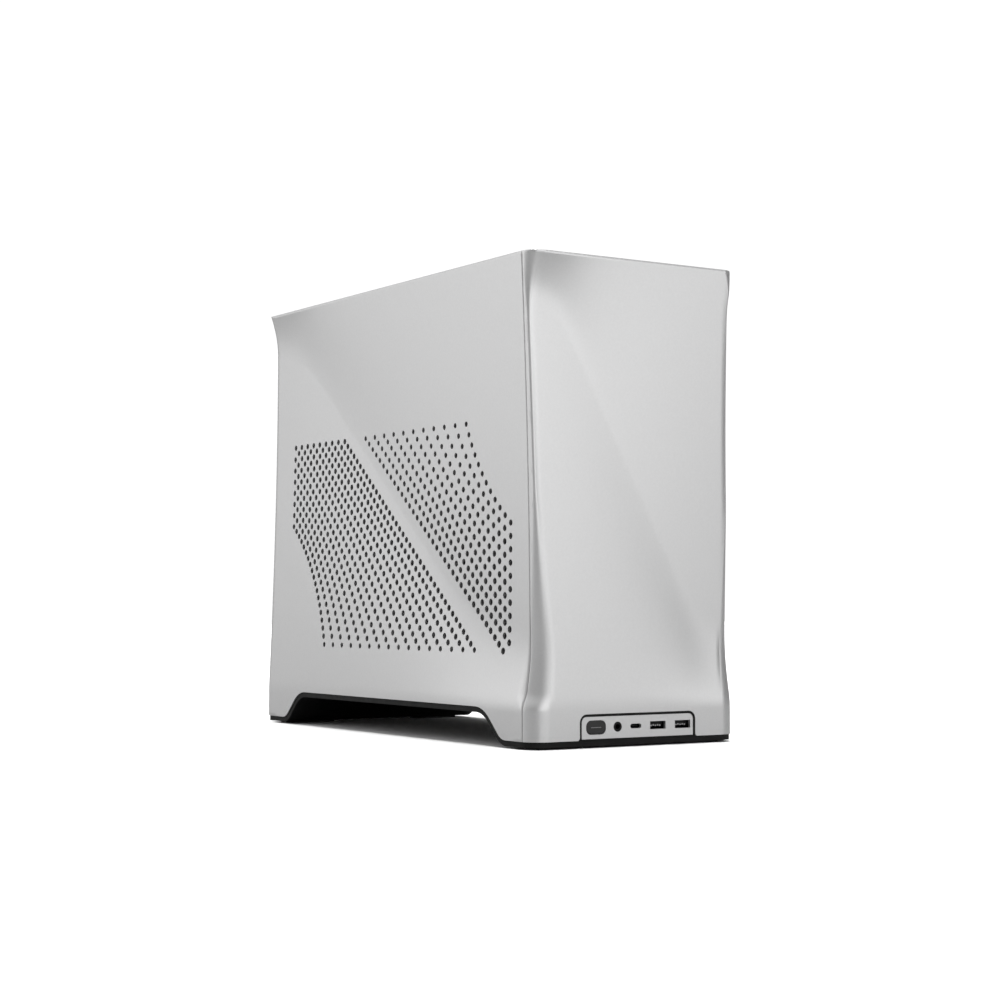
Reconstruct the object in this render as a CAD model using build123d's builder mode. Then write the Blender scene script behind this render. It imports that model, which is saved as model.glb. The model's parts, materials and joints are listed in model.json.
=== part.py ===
"""Mini-ITX tower PC: aluminium shell with creased panels on a black arched base.

Units are millimetres. +Z is up, -Y is the front, and the origin is the centre of the footprint
on the surface that the feet stand on.
"""

from build123d import *
import math
import os

os.makedirs("parts", exist_ok=True)

# ---------------------------------------------------------------- driving dimensions
WIDTH = 165.0
DEPTH = 366.0
HEIGHT = 314.0
HALF_W = WIDTH / 2
FRONT = -DEPTH / 2
REAR = DEPTH / 2

SHEET = 2.5  # thickness of the aluminium shell
SHELL_BOTTOM = 5.0  # lower edge of the aluminium
SKIRT_TOP = 28.0  # straight band round the foot of the shell
CREASE_DEPTH = 6.6  # how far the panels sink in along the crease
CREASE_BLEND = 0.5  # softness of the crease
STEEP_LOW = 50.0  # shortest run of the facet under the crease
STEEP_HIGH = 35.0  # shortest run of the facet over the crease
SIDE_CREASE_Y = (-167.0, REAR)  # crease ends along a side panel, low end first
FRONT_CREASE_X = (80.0, -78.0)  # crease ends across the front panel, low end first
EDGE_RADIUS = 3.5  # vertical front corners at mid height
FOOT_RADIUS = 14.0  # the same corners at the skirt
RIM_RADIUS = 10.5  # and at the top edge
RIM_FADE = 18.0  # height over which the top rounding dies out
FOOT_FADE = {-1: 137.0, 1: 130.0}  # the same for the foot's rounding, left and right corner
SEAM = -172.0  # joint line between front and side panels
SEAM_GAP = 0.4

ARCH_MID = 3.3  # centre of the side arch along Y
ARCH_HALF_LOW = 151.2  # half length of the side arch at the shell's lower edge
ARCH_HALF_TOP = 129.8
ARCH_TOP = 24.9
ARCH_RADIUS = 25.0
ARCH_FOOT_RADIUS = 12.0
ARCH_REACH = 168.0  # how far the arch outline runs along the lower edge
ARCH_CLEAR = 0.02  # keeps the cuts off the flat lower edges
LIP = 3.7  # height of the black lip that shows below the aluminium
TRIM_INSET = 0.8
CORE_INSET = 3.2
TRIM_BOTTOM = 1.3
DECK = (25.0, 27.2)  # underside and top of the base deck
PLATE = 1.2  # chassis sheet steel

FLOOR = 27.4  # underside of the floor plate
CHASSIS_X = 71.0
CHASSIS_FRONT = -168.2
CHASSIS_REAR = 177.2
FRAME_TOP = 298.0  # underside of the top frame
POST = 10.0

STUD_REACH_X = 73.0  # inner end of the side panels' bosses
STUD_REACH_Y = -173.0
STUD_REACH_Z = 304.0
BALL_R = 2.6
SOCKET_BORE_R = 2.9
SOCKET_R = 4.5
BOSS_R = 5.0
SIDE_STUDS = [(-162.0, 60.0), (-162.0, 280.0), (171.0, 60.0), (171.0, 280.0)]
FRONT_STUDS = [(-60.0, 45.0), (60.0, 45.0), (-60.0, 285.0), (60.0, 285.0)]
TOP_STUDS = [(-60.0, -150.0), (60.0, -150.0), (-60.0, 160.0), (60.0, 160.0)]

TOP_Z = 310.0  # underside of the top panel
TOP_THICK = 3.0
TOP_HALF_X = 77.6
TOP_Y = (-176.5, 182.4)
TOP_CORNER = 16.0  # front corners, clear of the front panel's rounded rim
TOP_SLOT = (124.0, 4.2)
TOP_SLOT_PITCH = 9.0
TOP_SLOTS = 31

FILTER_Z = (22.0, 24.6)  # dust filter under the bottom fans
FILTER_HALF_X = 63.0
FILTER_Y = (-122.0, 182.0)
FILTER_WINDOW = 114.0
FILTER_PITCH = 8.0
FILTER_CELL = 6.5
RAIL_GAP = 0.4
RAIL = (6.0, 1.3)  # width and thickness of the filter's rails
DECK_SIDE = 75.0  # inner face of the lips
FOOT_Y = (-167.0, 167.0)
FOOT_X = (-55.0, 55.0)
FOOT_SIZE = (36.0, 16.0)
FAN_OPENING_R = 57.0

PORT_Z = 13.0  # centre line of the front ports
BUTTON_X = -33.2
JACK_X = -16.3
USB_C_X = -2.0
USB_A_X = (15.7, 35.8)
BUTTON_SIZE = (14.7, 8.4)
JACK_NOSE_R = 3.15
JACK_BORE_R = 1.8
JACK_LENGTH = 13.0
PLATE_FRONT = FRONT + 0.4
PLATE_BACK = FRONT + 2.4
BEZEL_HALF = 45.7
BEZEL_TOP = 21.2
BEZEL_WALL = 1.3
NOTCH_GAP = 0.3  # between the bezel and the front panel's notch
BOARD_TOP = 10.15
BUTTON_BACK = PLATE_BACK + 1.8
SWITCH_Y = BUTTON_BACK + 5.3
PORT_FACE = PLATE_BACK + 0.05
USB_HALF_Z = PORT_Z - BOARD_TOP

CASE_FAN = 120.0
CASE_FAN_DEPTH = 25.0
CASE_FAN_Y = (-61.0, 61.0)
CASE_FAN_BORE = CASE_FAN / 2 - 2.0
BOTTOM_FAN_Z = FLOOR + PLATE
TOP_FAN_Z = FRAME_TOP - CASE_FAN_DEPTH
SHAFT_R = 1.5
BEARING_R = 1.55

PLATE_Y = (CHASSIS_FRONT + CHASSIS_REAR) / 2
PLATE_RUN = CHASSIS_REAR - CHASSIS_FRONT
STANDING = FRAME_TOP - FLOOR - PLATE
MID_Z = FLOOR + PLATE + STANDING / 2
BULKHEAD_WINDOWS_Z = (90.0, 160.0, 230.0)
SCREWS = [(x, z) for x in (-66.0, 66.0) for z in (40.0, 288.0)]  # rear panel screws in X and Z
PORT_BLOCK_X = (15.5, 55.0)
PORT_BLOCK_Z = (90.0, 238.0)
BRACKET_X = (-60.0, -4.0)
BRACKET_Z = (92.0, 212.0)
SHIELD_Y = CHASSIS_REAR - PLATE
PORT_REAR = CHASSIS_REAR + 1.0
USB_STACK_Z = (102.0, 129.0, 156.0)
NETWORK_Z = 214.0

SPINE_X = 6.0
SPINE_Z = 163.0
SPINE_TALL = 214.0
RIBBON_Y = (52.0, 148.0)
MAIN_X = 13.7  # back face of the motherboard
MAIN_Y = (3.0, 173.0)
MAIN_Z = (78.0, 248.0)
PCB = 1.6
MAIN_MID = (sum(MAIN_Y) / 2, sum(MAIN_Z) / 2)
MAIN_FACE = MAIN_X + PCB
HOLES = [(MAIN_MID[0] + y, MAIN_MID[1] + z) for y in (-77.5, 77.5) for z in (-77.5, 77.5)]
CPU = (92.0, 160.0)  # centre of the processor in Y and Z
CPU_TOP = MAIN_FACE + 6.5
FIN_X = (30.0, 52.0)
COOLER = 96.0
COOLER_FAN = 92.0
COOLER_FAN_DEPTH = 15.0
MODULE_Y = (14.0, 23.5)
MODULE_Z = 160.0
DRIVE_Z = 100.0

CARD_Y = (-110.0, 165.0)
CARD_Z = (94.0, 224.0)
CARD_FAN_Y = (-58.0, 54.0)
CARD_FAN_Z = 160.0
CARD_MID = (sum(CARD_Y) / 2, sum(CARD_Z) / 2)
CARD_RUN = CARD_Y[1] - CARD_Y[0]
CARD_TALL = CARD_Z[1] - CARD_Z[0]
CARD_X = -9.0  # inner face of the circuit board
SHROUD_X = (-58.0, -45.0)
SHROUD_BORE = 46.0
CARD_PORTS = [(-15.0, 112.0 + 22.0 * i) for i in range(4)]  # display outputs in X and Z

SUPPLY_X = (7.6, 70.6)
SUPPLY_Y = (-112.0, -12.0)
SUPPLY_Z = (110.0, 235.0)
SUPPLY_WALL = 1.2
SUPPLY_MID = tuple(sum(pair) / 2 for pair in (SUPPLY_X, SUPPLY_Y, SUPPLY_Z))
SUPPLY_SIZE = tuple(pair[1] - pair[0] for pair in (SUPPLY_X, SUPPLY_Y, SUPPLY_Z))
SUPPLY_FAN_R = 42.0
SUPPLY_INLET = (26.0, 150.0)
GUARD_WIRE = 1.0
ROCKER = (46.0, 128.0)  # rocker switch centre in X and Z
ROCKER_WIDTH = 10.0
ROCKER_PIN_R = 1.2
ROCKER_TILT = 7.0
ROCKER_HALF = [(2.0, -6.0), (-2.2, -8.3), (-5.2, -7.0), (-3.0, 0.0)]  # lower half of its side view

INLET = (-36.0, 258.0)  # rear mains inlet centre in X and Z
INLET_BODY = (27.2, 19.8)
INLET_CUTOUT = 0.4  # how much wider its panel cut-out is


def save(builder, label):
    """Name one finished piece and write it."""
    builder.part.label = label
    export_step(builder.part, f"parts/{label}.step")


# ---------------------------------------------------------------- the shell's creased form
LEVELS = [SKIRT_TOP, 31, 35, 40, 46, 54, 64, 78, 95, 115, 140, 165, 190, 215, 240, 260, 275, 286,
          294, 300, 305, 309.5, HEIGHT]


def facet(t, bulge):
    """Rise of one facet from its outer edge, t = 0, to the crease, t = 1."""
    t = min(max(t, 0.0), 1.0)
    return CREASE_DEPTH * t * (1 + bulge * (1 - t))


def sink(along, z):
    """Inward depth of a panel. along runs from 0 at the crease's low end to 1 at its high end."""
    if z <= SKIRT_TOP or z >= HEIGHT:
        return 0.0
    crease = SKIRT_TOP + (HEIGHT - SKIRT_TOP) * min(max(along, 0.0), 1.0)
    bulge = 0.35 + 0.65 * (2 * along - 1) ** 2
    low = facet((z - SKIRT_TOP) / max(crease - SKIRT_TOP, STEEP_LOW), bulge)
    high = facet((HEIGHT - z) / max(HEIGHT - crease, STEEP_HIGH), bulge)
    soft = -CREASE_BLEND * math.log(math.exp(-low / CREASE_BLEND) + math.exp(-high / CREASE_BLEND))
    return max(0.0, soft)


def side_depth(side, y, z):
    """Inward depth of a side panel; the right one is the left one turned half round."""
    low, high = SIDE_CREASE_Y
    return sink((-side * y - low) / (high - low), z)


def front_depth(x, z):
    low, high = FRONT_CREASE_X
    return sink((x - low) / (high - low), z)


def corner_radius(side, z):
    """Radius of a front corner in plan: large at the foot and at the rim."""
    low = max(0.0, min(1.0, 1.0 - (z - SKIRT_TOP) / FOOT_FADE[side]))
    high = max(0.0, 1.0 - (HEIGHT - z) / RIM_FADE)
    return EDGE_RADIUS + (FOOT_RADIUS - EDGE_RADIUS) * low**1.25 + (RIM_RADIUS - EDGE_RADIUS) * high**1.6


def corner(side, z):
    """Arc centre and radius of a front corner."""
    r = corner_radius(side, z)
    x = HALF_W - side_depth(side, FRONT + r, z)
    y = FRONT + front_depth(side * (HALF_W - r), z)
    return side * (x - r), y + r, r


def side_x(side, y, z):
    """Outer face of a side panel, with the front corner's rounding."""
    x = side * (HALF_W - side_depth(side, y, z))
    _, yc, r = corner(side, z)
    if y < yc:
        x -= side * (r - math.sqrt(max(r * r - (yc - y) ** 2, 0.0)))
    return x


def even(points, count):
    """The same path with evenly spaced points."""
    run = [0.0]
    for a, b in zip(points, points[1:]):
        run.append(run[-1] + math.dist(a, b))
    out = []
    j = 0
    for i in range(count):
        s = run[-1] * i / (count - 1)
        while j < len(points) - 2 and run[j + 1] < s:
            j += 1
        f = (s - run[j]) / max(run[j + 1] - run[j], 1e-9)
        f = min(max(f, 0.0), 1.0)
        out.append(tuple(a + (b - a) * f for a, b in zip(points[j], points[j + 1])))
    return out


def side_section(side, z):
    """Plan section of a side panel at one height."""
    first = SEAM + SEAM_GAP / 2
    ys = [first + (REAR - first) * i / 24 for i in range(25)]
    outer = [(side_x(side, y, z), y) for y in ys]
    inner = [(x - side * SHEET, y) for x, y in outer]
    with BuildSketch(Plane.XY.offset(z)) as section:
        with BuildLine():
            Spline(*outer)
            Line(outer[-1], inner[-1])
            Spline(*inner[::-1])
            Line(inner[0], outer[0])
        make_face()
    return section.sketch


def front_path(z, inset):
    """Plan path of the front panel, from the left seam to the right seam, in three stretches."""
    seam = SEAM - SEAM_GAP / 2
    corners = []
    for side in (-1, 1):
        xc, yc, r = corner(side, z)
        r -= inset
        start = math.asin(min(max((yc - seam) / r, 0.0), 1.0))
        arc = []
        if yc < seam:
            arc.append((side_x(side, seam, z) - side * inset, seam))
        for i in range(25):
            a = start + (math.pi / 2 - start) * i / 24
            arc.append((xc + side * r * math.cos(a), yc - r * math.sin(a)))
        corners.append(arc)
    left, right = corners
    x0, x1 = left[-1][0], right[-1][0]
    xs = [x0 + (x1 - x0) * i / 40 for i in range(41)]
    flat = [(x, FRONT + front_depth(x, z) + inset) for x in xs]
    flat[0], flat[-1] = left[-1], right[-1]
    return even(left, 10), even(flat, 24), even(right, 10)


def front_section(z):
    """Plan section of the front panel at one height."""
    left, flat, right = front_path(z, 0.0)
    left_in, flat_in, right_in = front_path(z, SHEET)
    with BuildSketch(Plane.XY.offset(z)) as section:
        with BuildLine():
            Spline(*left)
            Spline(*flat)
            Spline(*right)
            Line(right[0], right_in[0])
            Spline(*right_in)
            Spline(*flat_in)
            Spline(*left_in)
            Line(left_in[0], left[0])
        make_face()
    return section.sketch


def arch(grow, x=0.0):
    """Outline of the side arch and the space under the foot in the plane at x; grow widens it."""
    slope = math.atan2(ARCH_TOP - SHELL_BOTTOM, ARCH_HALF_LOW - ARCH_HALF_TOP)
    shift = grow * math.tan(slope / 2)
    half_top = ARCH_HALF_TOP + shift
    half_low = ARCH_HALF_LOW + shift
    foot = SHELL_BOTTOM + grow
    top = ARCH_TOP + grow
    floor = -8.0
    half = [(ARCH_REACH, floor), (ARCH_REACH, foot), (half_low, foot), (half_top, top)]
    corners = [(-y, z) for y, z in half] + half[::-1]
    radii = [0.5, 0.5, ARCH_FOOT_RADIUS - grow, ARCH_RADIUS + grow]
    with BuildSketch(Plane.YZ.offset(x)) as outline:
        with BuildLine():
            moved = [(y + ARCH_MID, z) for y, z in corners]
            FilletPolyline(*moved, radius=radii + radii[::-1], close=True)
        make_face()
    return outline.sketch


def stud(plane):
    """Ball stud on a boss face, pointing along the plane's normal."""
    with BuildPart(mode=Mode.PRIVATE) as one:
        Cylinder(3.5, 0.6, align=(Align.CENTER, Align.CENTER, Align.MIN))
        Cylinder(1.4, 2.0, align=(Align.CENTER, Align.CENTER, Align.MIN))
        with Locations((0, 0, 1.0 + BALL_R)):
            Sphere(BALL_R)
    return plane * one.part


def studs(planes, label):
    with BuildPart() as group:
        for plane in planes:
            add(stud(plane))
    save(group, label)


# ---------------------------------------------------------------- shell panels
for side, name in ((-1, "left"), (1, "right")):
    with BuildPart() as side_panel:
        loft([side_section(side, z) for z in LEVELS])
        extrude(side_section(side, SKIRT_TOP), amount=SHELL_BOTTOM - SKIRT_TOP)
        extrude(arch(ARCH_CLEAR), amount=side * WIDTH, mode=Mode.SUBTRACT)
        for y, z in SIDE_STUDS:
            root = HALF_W - side_depth(side, y, z) - SHEET / 2
            with BuildSketch(Plane(origin=(side * STUD_REACH_X, y, z), z_dir=(side, 0, 0))):
                Circle(BOSS_R)
            extrude(amount=root - STUD_REACH_X)
    save(side_panel, f"{name}_side_panel")
    planes = [Plane(origin=(side * STUD_REACH_X, y, z), z_dir=(-side, 0, 0)) for y, z in SIDE_STUDS]
    studs(planes, f"{name}_panel_studs")

with BuildPart() as front_panel:
    loft([front_section(z) for z in LEVELS])
    extrude(front_section(SKIRT_TOP), amount=SHELL_BOTTOM - SKIRT_TOP)
    with BuildSketch(Plane.XZ.offset(-FRONT + 5)):
        with Locations((0, BEZEL_TOP + NOTCH_GAP)):
            notch = (2 * (BEZEL_HALF + NOTCH_GAP), 44.0)
            RectangleRounded(*notch, 5.0 + NOTCH_GAP, align=(Align.CENTER, Align.MAX))
    extrude(amount=-20, mode=Mode.SUBTRACT)
    for x, z in FRONT_STUDS:
        root = FRONT + front_depth(x, z) + SHEET / 2
        with BuildSketch(Plane(origin=(x, STUD_REACH_Y, z), z_dir=(0, -1, 0))):
            Circle(BOSS_R)
        extrude(amount=STUD_REACH_Y - root)
save(front_panel, "front_panel")
studs([Plane(origin=(x, STUD_REACH_Y, z), z_dir=(0, 1, 0)) for x, z in FRONT_STUDS], "front_panel_studs")

with BuildPart() as top_panel:
    with BuildSketch(Plane.XY.offset(TOP_Z)) as top_outline:
        with Locations((0, sum(TOP_Y) / 2)):
            Rectangle(2 * TOP_HALF_X, TOP_Y[1] - TOP_Y[0])
        fillet(top_outline.vertices().group_by(Axis.Y)[0], TOP_CORNER)
        with Locations((0, sum(TOP_Y) / 2)):
            with GridLocations(0, TOP_SLOT_PITCH, 1, TOP_SLOTS):
                SlotOverall(*TOP_SLOT, mode=Mode.SUBTRACT)
    extrude(amount=TOP_THICK)
    for x, y in TOP_STUDS:
        with BuildSketch(Plane(origin=(x, y, STUD_REACH_Z))):
            Circle(BOSS_R)
        extrude(amount=TOP_Z + 1.0 - STUD_REACH_Z)
save(top_panel, "top_panel")
studs([Plane(origin=(x, y, STUD_REACH_Z), z_dir=(0, 0, -1)) for x, y in TOP_STUDS], "top_panel_studs")


# ---------------------------------------------------------------- base
def footprint(inset, z):
    """Plan outline of the shell's foot, moved in by inset."""
    r_front = 14.0 - inset
    half = HALF_W - inset
    front, rear = FRONT + inset, REAR - inset
    with BuildSketch(Plane.XY.offset(z)) as outline:
        with BuildLine():
            Polyline((-half, front + r_front), (-half, rear), (half, rear), (half, front + r_front))
            RadiusArc((half, front + r_front), (half - r_front, front), r_front)
            Line((half - r_front, front), (-half + r_front, front))
            RadiusArc((-half + r_front, front), (-half, front + r_front), r_front)
        make_face()
    return outline.sketch


with BuildPart() as base_trim:
    for side in (-1, 1):
        extrude(arch(0.0, side * DECK_SIDE), amount=side * (HALF_W - TRIM_INSET - DECK_SIDE))
    extrude(footprint(TRIM_INSET, TRIM_BOTTOM), amount=SHELL_BOTTOM - TRIM_BOTTOM)
    extrude(footprint(CORE_INSET, SHELL_BOTTOM), amount=DECK[1] - SHELL_BOTTOM)
    extrude(arch(ARCH_CLEAR - LIP), amount=WIDTH, both=True, mode=Mode.SUBTRACT)
    split(bisect_by=Plane.XY.offset(TRIM_BOTTOM), keep=Keep.TOP)
    with BuildSketch(Plane.XY.offset(ARCH_TOP - LIP - 2.0)):
        with Locations((0, ARCH_MID)):
            Rectangle(2 * DECK_SIDE, 2 * ARCH_HALF_TOP - 12.0)
    extrude(amount=DECK[0] - (ARCH_TOP - LIP - 2.0), mode=Mode.SUBTRACT)
    # openings under the two bottom fans
    with BuildSketch(Plane.XY.offset(DECK[0])):
        with Locations(*[(0, y) for y in CASE_FAN_Y]):
            Circle(FAN_OPENING_R)
    extrude(amount=10, mode=Mode.SUBTRACT)
    # rails that carry the dust filter, and the slot it slides out of at the back
    for side in (-1, 1):
        rail_y = (FILTER_Y[0] - 2.0, 150.0)
        with BuildSketch(Plane.XY.offset(FILTER_Z[0] - RAIL_GAP - RAIL[1])):
            with Locations((side * (FILTER_HALF_X + RAIL_GAP), sum(rail_y) / 2)):
                Rectangle(RAIL[0], rail_y[1] - rail_y[0])
        extrude(amount=DECK[0] - (FILTER_Z[0] - RAIL_GAP - RAIL[1]))
    with BuildSketch(Plane.XY.offset(FILTER_Z[0] - RAIL_GAP)):
        with Locations((0, FILTER_Y[0] - RAIL_GAP)):
            Rectangle(2 * (FILTER_HALF_X + RAIL_GAP), 400.0, align=(Align.CENTER, Align.MIN))
    extrude(amount=DECK[0] - (FILTER_Z[0] - RAIL_GAP), mode=Mode.SUBTRACT)
    # pocket for the front ports
    with BuildSketch(Plane.XY.offset(SHELL_BOTTOM)):
        with Locations((0, FRONT - 1.0)):
            Rectangle(2 * BEZEL_HALF, 25.0, align=(Align.CENTER, Align.MIN))
    extrude(amount=BEZEL_TOP + 0.2 - SHELL_BOTTOM, mode=Mode.SUBTRACT)
save(base_trim, "base_trim")

with BuildPart() as rubber_feet:
    with BuildSketch():
        with Locations(*[(x, y) for x in FOOT_X for y in FOOT_Y]):
            RectangleRounded(*FOOT_SIZE, 4.0)
    extrude(amount=TRIM_BOTTOM)
save(rubber_feet, "rubber_feet")

with BuildPart() as dust_filter_frame:
    filter_mid = sum(FILTER_Y) / 2
    filter_run = FILTER_Y[1] - FILTER_Y[0]
    with BuildSketch(Plane.XY.offset(FILTER_Z[0])):
        with Locations((0, filter_mid)):
            Rectangle(2 * FILTER_HALF_X, filter_run)
        with Locations(*[(0, y) for y in CASE_FAN_Y]):
            Rectangle(FILTER_WINDOW, FILTER_WINDOW, mode=Mode.SUBTRACT)
    extrude(amount=FILTER_Z[1] - FILTER_Z[0])
    with BuildSketch(Plane.XZ.offset(-FILTER_Y[1])):
        with Locations((0, sum(FILTER_Z) / 2)):
            SlotOverall(28.0, 1.4)
    extrude(amount=4.0, mode=Mode.SUBTRACT)
save(dust_filter_frame, "dust_filter_frame")

with BuildPart() as dust_filter_mesh:
    for y in CASE_FAN_Y:
        with BuildSketch(Plane.XY.offset(FILTER_Z[0] + 0.9)):
            with Locations((0, y)):
                Rectangle(FILTER_WINDOW, FILTER_WINDOW)
                with GridLocations(FILTER_PITCH, FILTER_PITCH, 14, 14):
                    Rectangle(FILTER_CELL, FILTER_CELL, mode=Mode.SUBTRACT)
        extrude(amount=0.8)
save(dust_filter_mesh, "dust_filter_mesh")

# ---------------------------------------------------------------- chassis plates

with BuildPart() as floor_plate:
    with BuildSketch(Plane.XY.offset(FLOOR)):
        with Locations((0, PLATE_Y)):
            Rectangle(2 * CHASSIS_X, PLATE_RUN)
        for y in CASE_FAN_Y:
            with Locations((0, y)):
                Circle(FAN_OPENING_R, mode=Mode.SUBTRACT)
                with GridLocations(105.0, 105.0, 2, 2):
                    Circle(2.2, mode=Mode.SUBTRACT)
    extrude(amount=PLATE)
save(floor_plate, "floor_plate")

with BuildPart() as top_frame:
    with BuildSketch(Plane.XY.offset(FRAME_TOP)):
        with Locations((0, PLATE_Y)):
            Rectangle(2 * CHASSIS_X, PLATE_RUN)
        for y in CASE_FAN_Y:
            with Locations((0, y)):
                Circle(FAN_OPENING_R, mode=Mode.SUBTRACT)
                with GridLocations(105.0, 105.0, 2, 2):
                    Circle(2.2, mode=Mode.SUBTRACT)
        with Locations(*TOP_STUDS):
            Circle(3.2, mode=Mode.SUBTRACT)
    extrude(amount=PLATE)
save(top_frame, "top_frame")

with BuildPart() as front_bulkhead:
    with BuildSketch(Plane.XZ.offset(-CHASSIS_FRONT)):
        with Locations((0, MID_Z)):
            Rectangle(2 * CHASSIS_X, STANDING)
        with Locations(*[(0, z) for z in BULKHEAD_WINDOWS_Z]):
            RectangleRounded(96.0, 44.0, 6.0, mode=Mode.SUBTRACT)
        with Locations(*FRONT_STUDS):
            Circle(3.2, mode=Mode.SUBTRACT)
    extrude(amount=-PLATE)
save(front_bulkhead, "front_bulkhead")

with BuildPart() as rear_panel:
    with BuildSketch(Plane.XZ.offset(-CHASSIS_REAR)):
        with Locations((0, MID_Z)):
            Rectangle(2 * CHASSIS_X, STANDING)
        with Locations((sum(PORT_BLOCK_X) / 2, sum(PORT_BLOCK_Z) / 2)):
            Rectangle(44.0, 158.0, mode=Mode.SUBTRACT)
        with Locations((sum(BRACKET_X) / 2, sum(BRACKET_Z) / 2)):
            Rectangle(52.0, 112.0, mode=Mode.SUBTRACT)
        with Locations(INLET):
            Rectangle(*[size + INLET_CUTOUT for size in INLET_BODY], mode=Mode.SUBTRACT)
        with Locations((0, 56.0)):
            with GridLocations(9.0, 9.0, 13, 4):
                Circle(3.4, mode=Mode.SUBTRACT)
        with Locations(*SCREWS):
            Circle(1.7, mode=Mode.SUBTRACT)
    extrude(amount=PLATE)
save(rear_panel, "rear_panel")

with BuildPart() as corner_posts:
    for side in (-1, 1):
        for y in (CHASSIS_FRONT + PLATE, CHASSIS_REAR - PLATE - POST):
            with BuildSketch(Plane.XY.offset(FLOOR + PLATE)):
                with Locations((side * (CHASSIS_X - POST / 2), y + POST / 2)):
                    Rectangle(POST, POST)
            extrude(amount=STANDING)
    for side in (-1, 1):
        for y, z in SIDE_STUDS:
            with BuildSketch(Plane(origin=(side * CHASSIS_X, y, z), z_dir=(-side, 0, 0))):
                Circle(SOCKET_R + 0.05)
            extrude(amount=6.5, mode=Mode.SUBTRACT)
    with BuildSketch(Plane.XZ.offset(-CHASSIS_REAR)):
        with Locations(*SCREWS):
            Circle(1.6)
    extrude(amount=9.0, mode=Mode.SUBTRACT)
save(corner_posts, "corner_posts")

with BuildPart() as ball_sockets:
    places = [Plane(origin=(-CHASSIS_X, y, z), z_dir=(1, 0, 0)) for y, z in SIDE_STUDS]
    places += [Plane(origin=(CHASSIS_X, y, z), z_dir=(-1, 0, 0)) for y, z in SIDE_STUDS]
    places += [Plane(origin=(x, CHASSIS_FRONT - 4.0, z), z_dir=(0, 1, 0)) for x, z in FRONT_STUDS]
    places += [Plane(origin=(x, y, FRAME_TOP + PLATE + 4.0), z_dir=(0, 0, -1)) for x, y in TOP_STUDS]
    for i, place in enumerate(places):
        with BuildSketch(place):
            Circle(SOCKET_R)
            Circle(SOCKET_BORE_R, mode=Mode.SUBTRACT)
        extrude(amount=6.0 if i < 2 * len(SIDE_STUDS) else 4.0)
save(ball_sockets, "ball_sockets")

with BuildPart() as spine_plate:
    with BuildSketch(Plane.YZ.offset(SPINE_X)):
        with Locations((PLATE_Y, SPINE_Z)):
            Rectangle(PLATE_RUN - 2 * PLATE, SPINE_TALL)
        with Locations((sum(RIBBON_Y) / 2, 64.0)):
            Rectangle(RIBBON_Y[1] - RIBBON_Y[0] + 4, 12.0, mode=Mode.SUBTRACT)
        with Locations((-130.0, 172.0)):
            RectangleRounded(26.0, 150.0, 5.0, mode=Mode.SUBTRACT)
    extrude(amount=PLATE)
save(spine_plate, "spine_plate")

# ---------------------------------------------------------------- front ports
with BuildPart() as port_bezel:
    with BuildSketch(Plane.XZ.offset(-FRONT - 0.2)):
        with Locations((0, BEZEL_TOP)):
            RectangleRounded(2 * BEZEL_HALF, 30.0, 5.0, align=(Align.CENTER, Align.MAX))
        with Locations((0, BEZEL_TOP - BEZEL_WALL)):
            window = (2 * (BEZEL_HALF - BEZEL_WALL), 28.0)
            RectangleRounded(*window, 5.0 - BEZEL_WALL, align=(Align.CENTER, Align.MAX), mode=Mode.SUBTRACT)
        with Locations((0, SHELL_BOTTOM)):
            Rectangle(200.0, 40.0, align=(Align.CENTER, Align.MAX), mode=Mode.SUBTRACT)
        with Locations((0, SHELL_BOTTOM)):
            Rectangle(2 * BEZEL_HALF - 1, 0.7, align=(Align.CENTER, Align.MIN))
    extrude(amount=-6.0)
save(port_bezel, "port_bezel")

with BuildPart() as port_plate:
    inner_top = BEZEL_TOP - BEZEL_WALL - 0.1
    inner_half = BEZEL_HALF - BEZEL_WALL - 0.1
    with BuildSketch(Plane.XZ.offset(-PLATE_FRONT)):
        with Locations((0, inner_top)):
            RectangleRounded(2 * inner_half, 28.0, 3.6, align=(Align.CENTER, Align.MAX))
        with Locations((0, SHELL_BOTTOM + 0.8)):
            Rectangle(200.0, 40.0, align=(Align.CENTER, Align.MAX), mode=Mode.SUBTRACT)
        with Locations((BUTTON_X, PORT_Z)):
            RectangleRounded(BUTTON_SIZE[0] + 0.6, BUTTON_SIZE[1] + 0.6, 3.7, mode=Mode.SUBTRACT)
        with Locations((JACK_X, PORT_Z)):
            Circle(JACK_NOSE_R + 0.1, mode=Mode.SUBTRACT)
        with Locations((USB_C_X, PORT_Z)):
            SlotOverall(8.7, 3.0, mode=Mode.SUBTRACT)
        with Locations(*[(x, PORT_Z) for x in USB_A_X]):
            Rectangle(12.5, 5.1, mode=Mode.SUBTRACT)
    extrude(amount=-(PLATE_BACK - PLATE_FRONT))
save(port_plate, "port_plate")

with BuildPart() as power_button:
    with BuildSketch(Plane.XZ.offset(-FRONT - 0.1)):
        with Locations((BUTTON_X, PORT_Z)):
            RectangleRounded(*BUTTON_SIZE, 3.4)
    extrude(amount=-(BUTTON_BACK - FRONT - 0.1))
    fillet(power_button.faces().sort_by(Axis.Y)[0].edges(), 0.5)
    with BuildSketch(Plane.XZ.offset(-FRONT - 0.1)):
        with Locations((BUTTON_X, PORT_Z)):
            SlotOverall(9.0, 0.9)
    extrude(amount=-0.3, mode=Mode.SUBTRACT)
    with BuildSketch(Plane.XZ.offset(-PLATE_BACK - 0.5)):
        with Locations((BUTTON_X, PORT_Z)):
            RectangleRounded(BUTTON_SIZE[0] + 2.2, BUTTON_SIZE[1] + 2.2, 3.7)
    extrude(amount=-(BUTTON_BACK - PLATE_BACK - 0.5))
    with BuildSketch(Plane.XZ.offset(-BUTTON_BACK)):
        with Locations((BUTTON_X, PORT_Z)):
            Circle(1.5)
    extrude(amount=-5.0)
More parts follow.
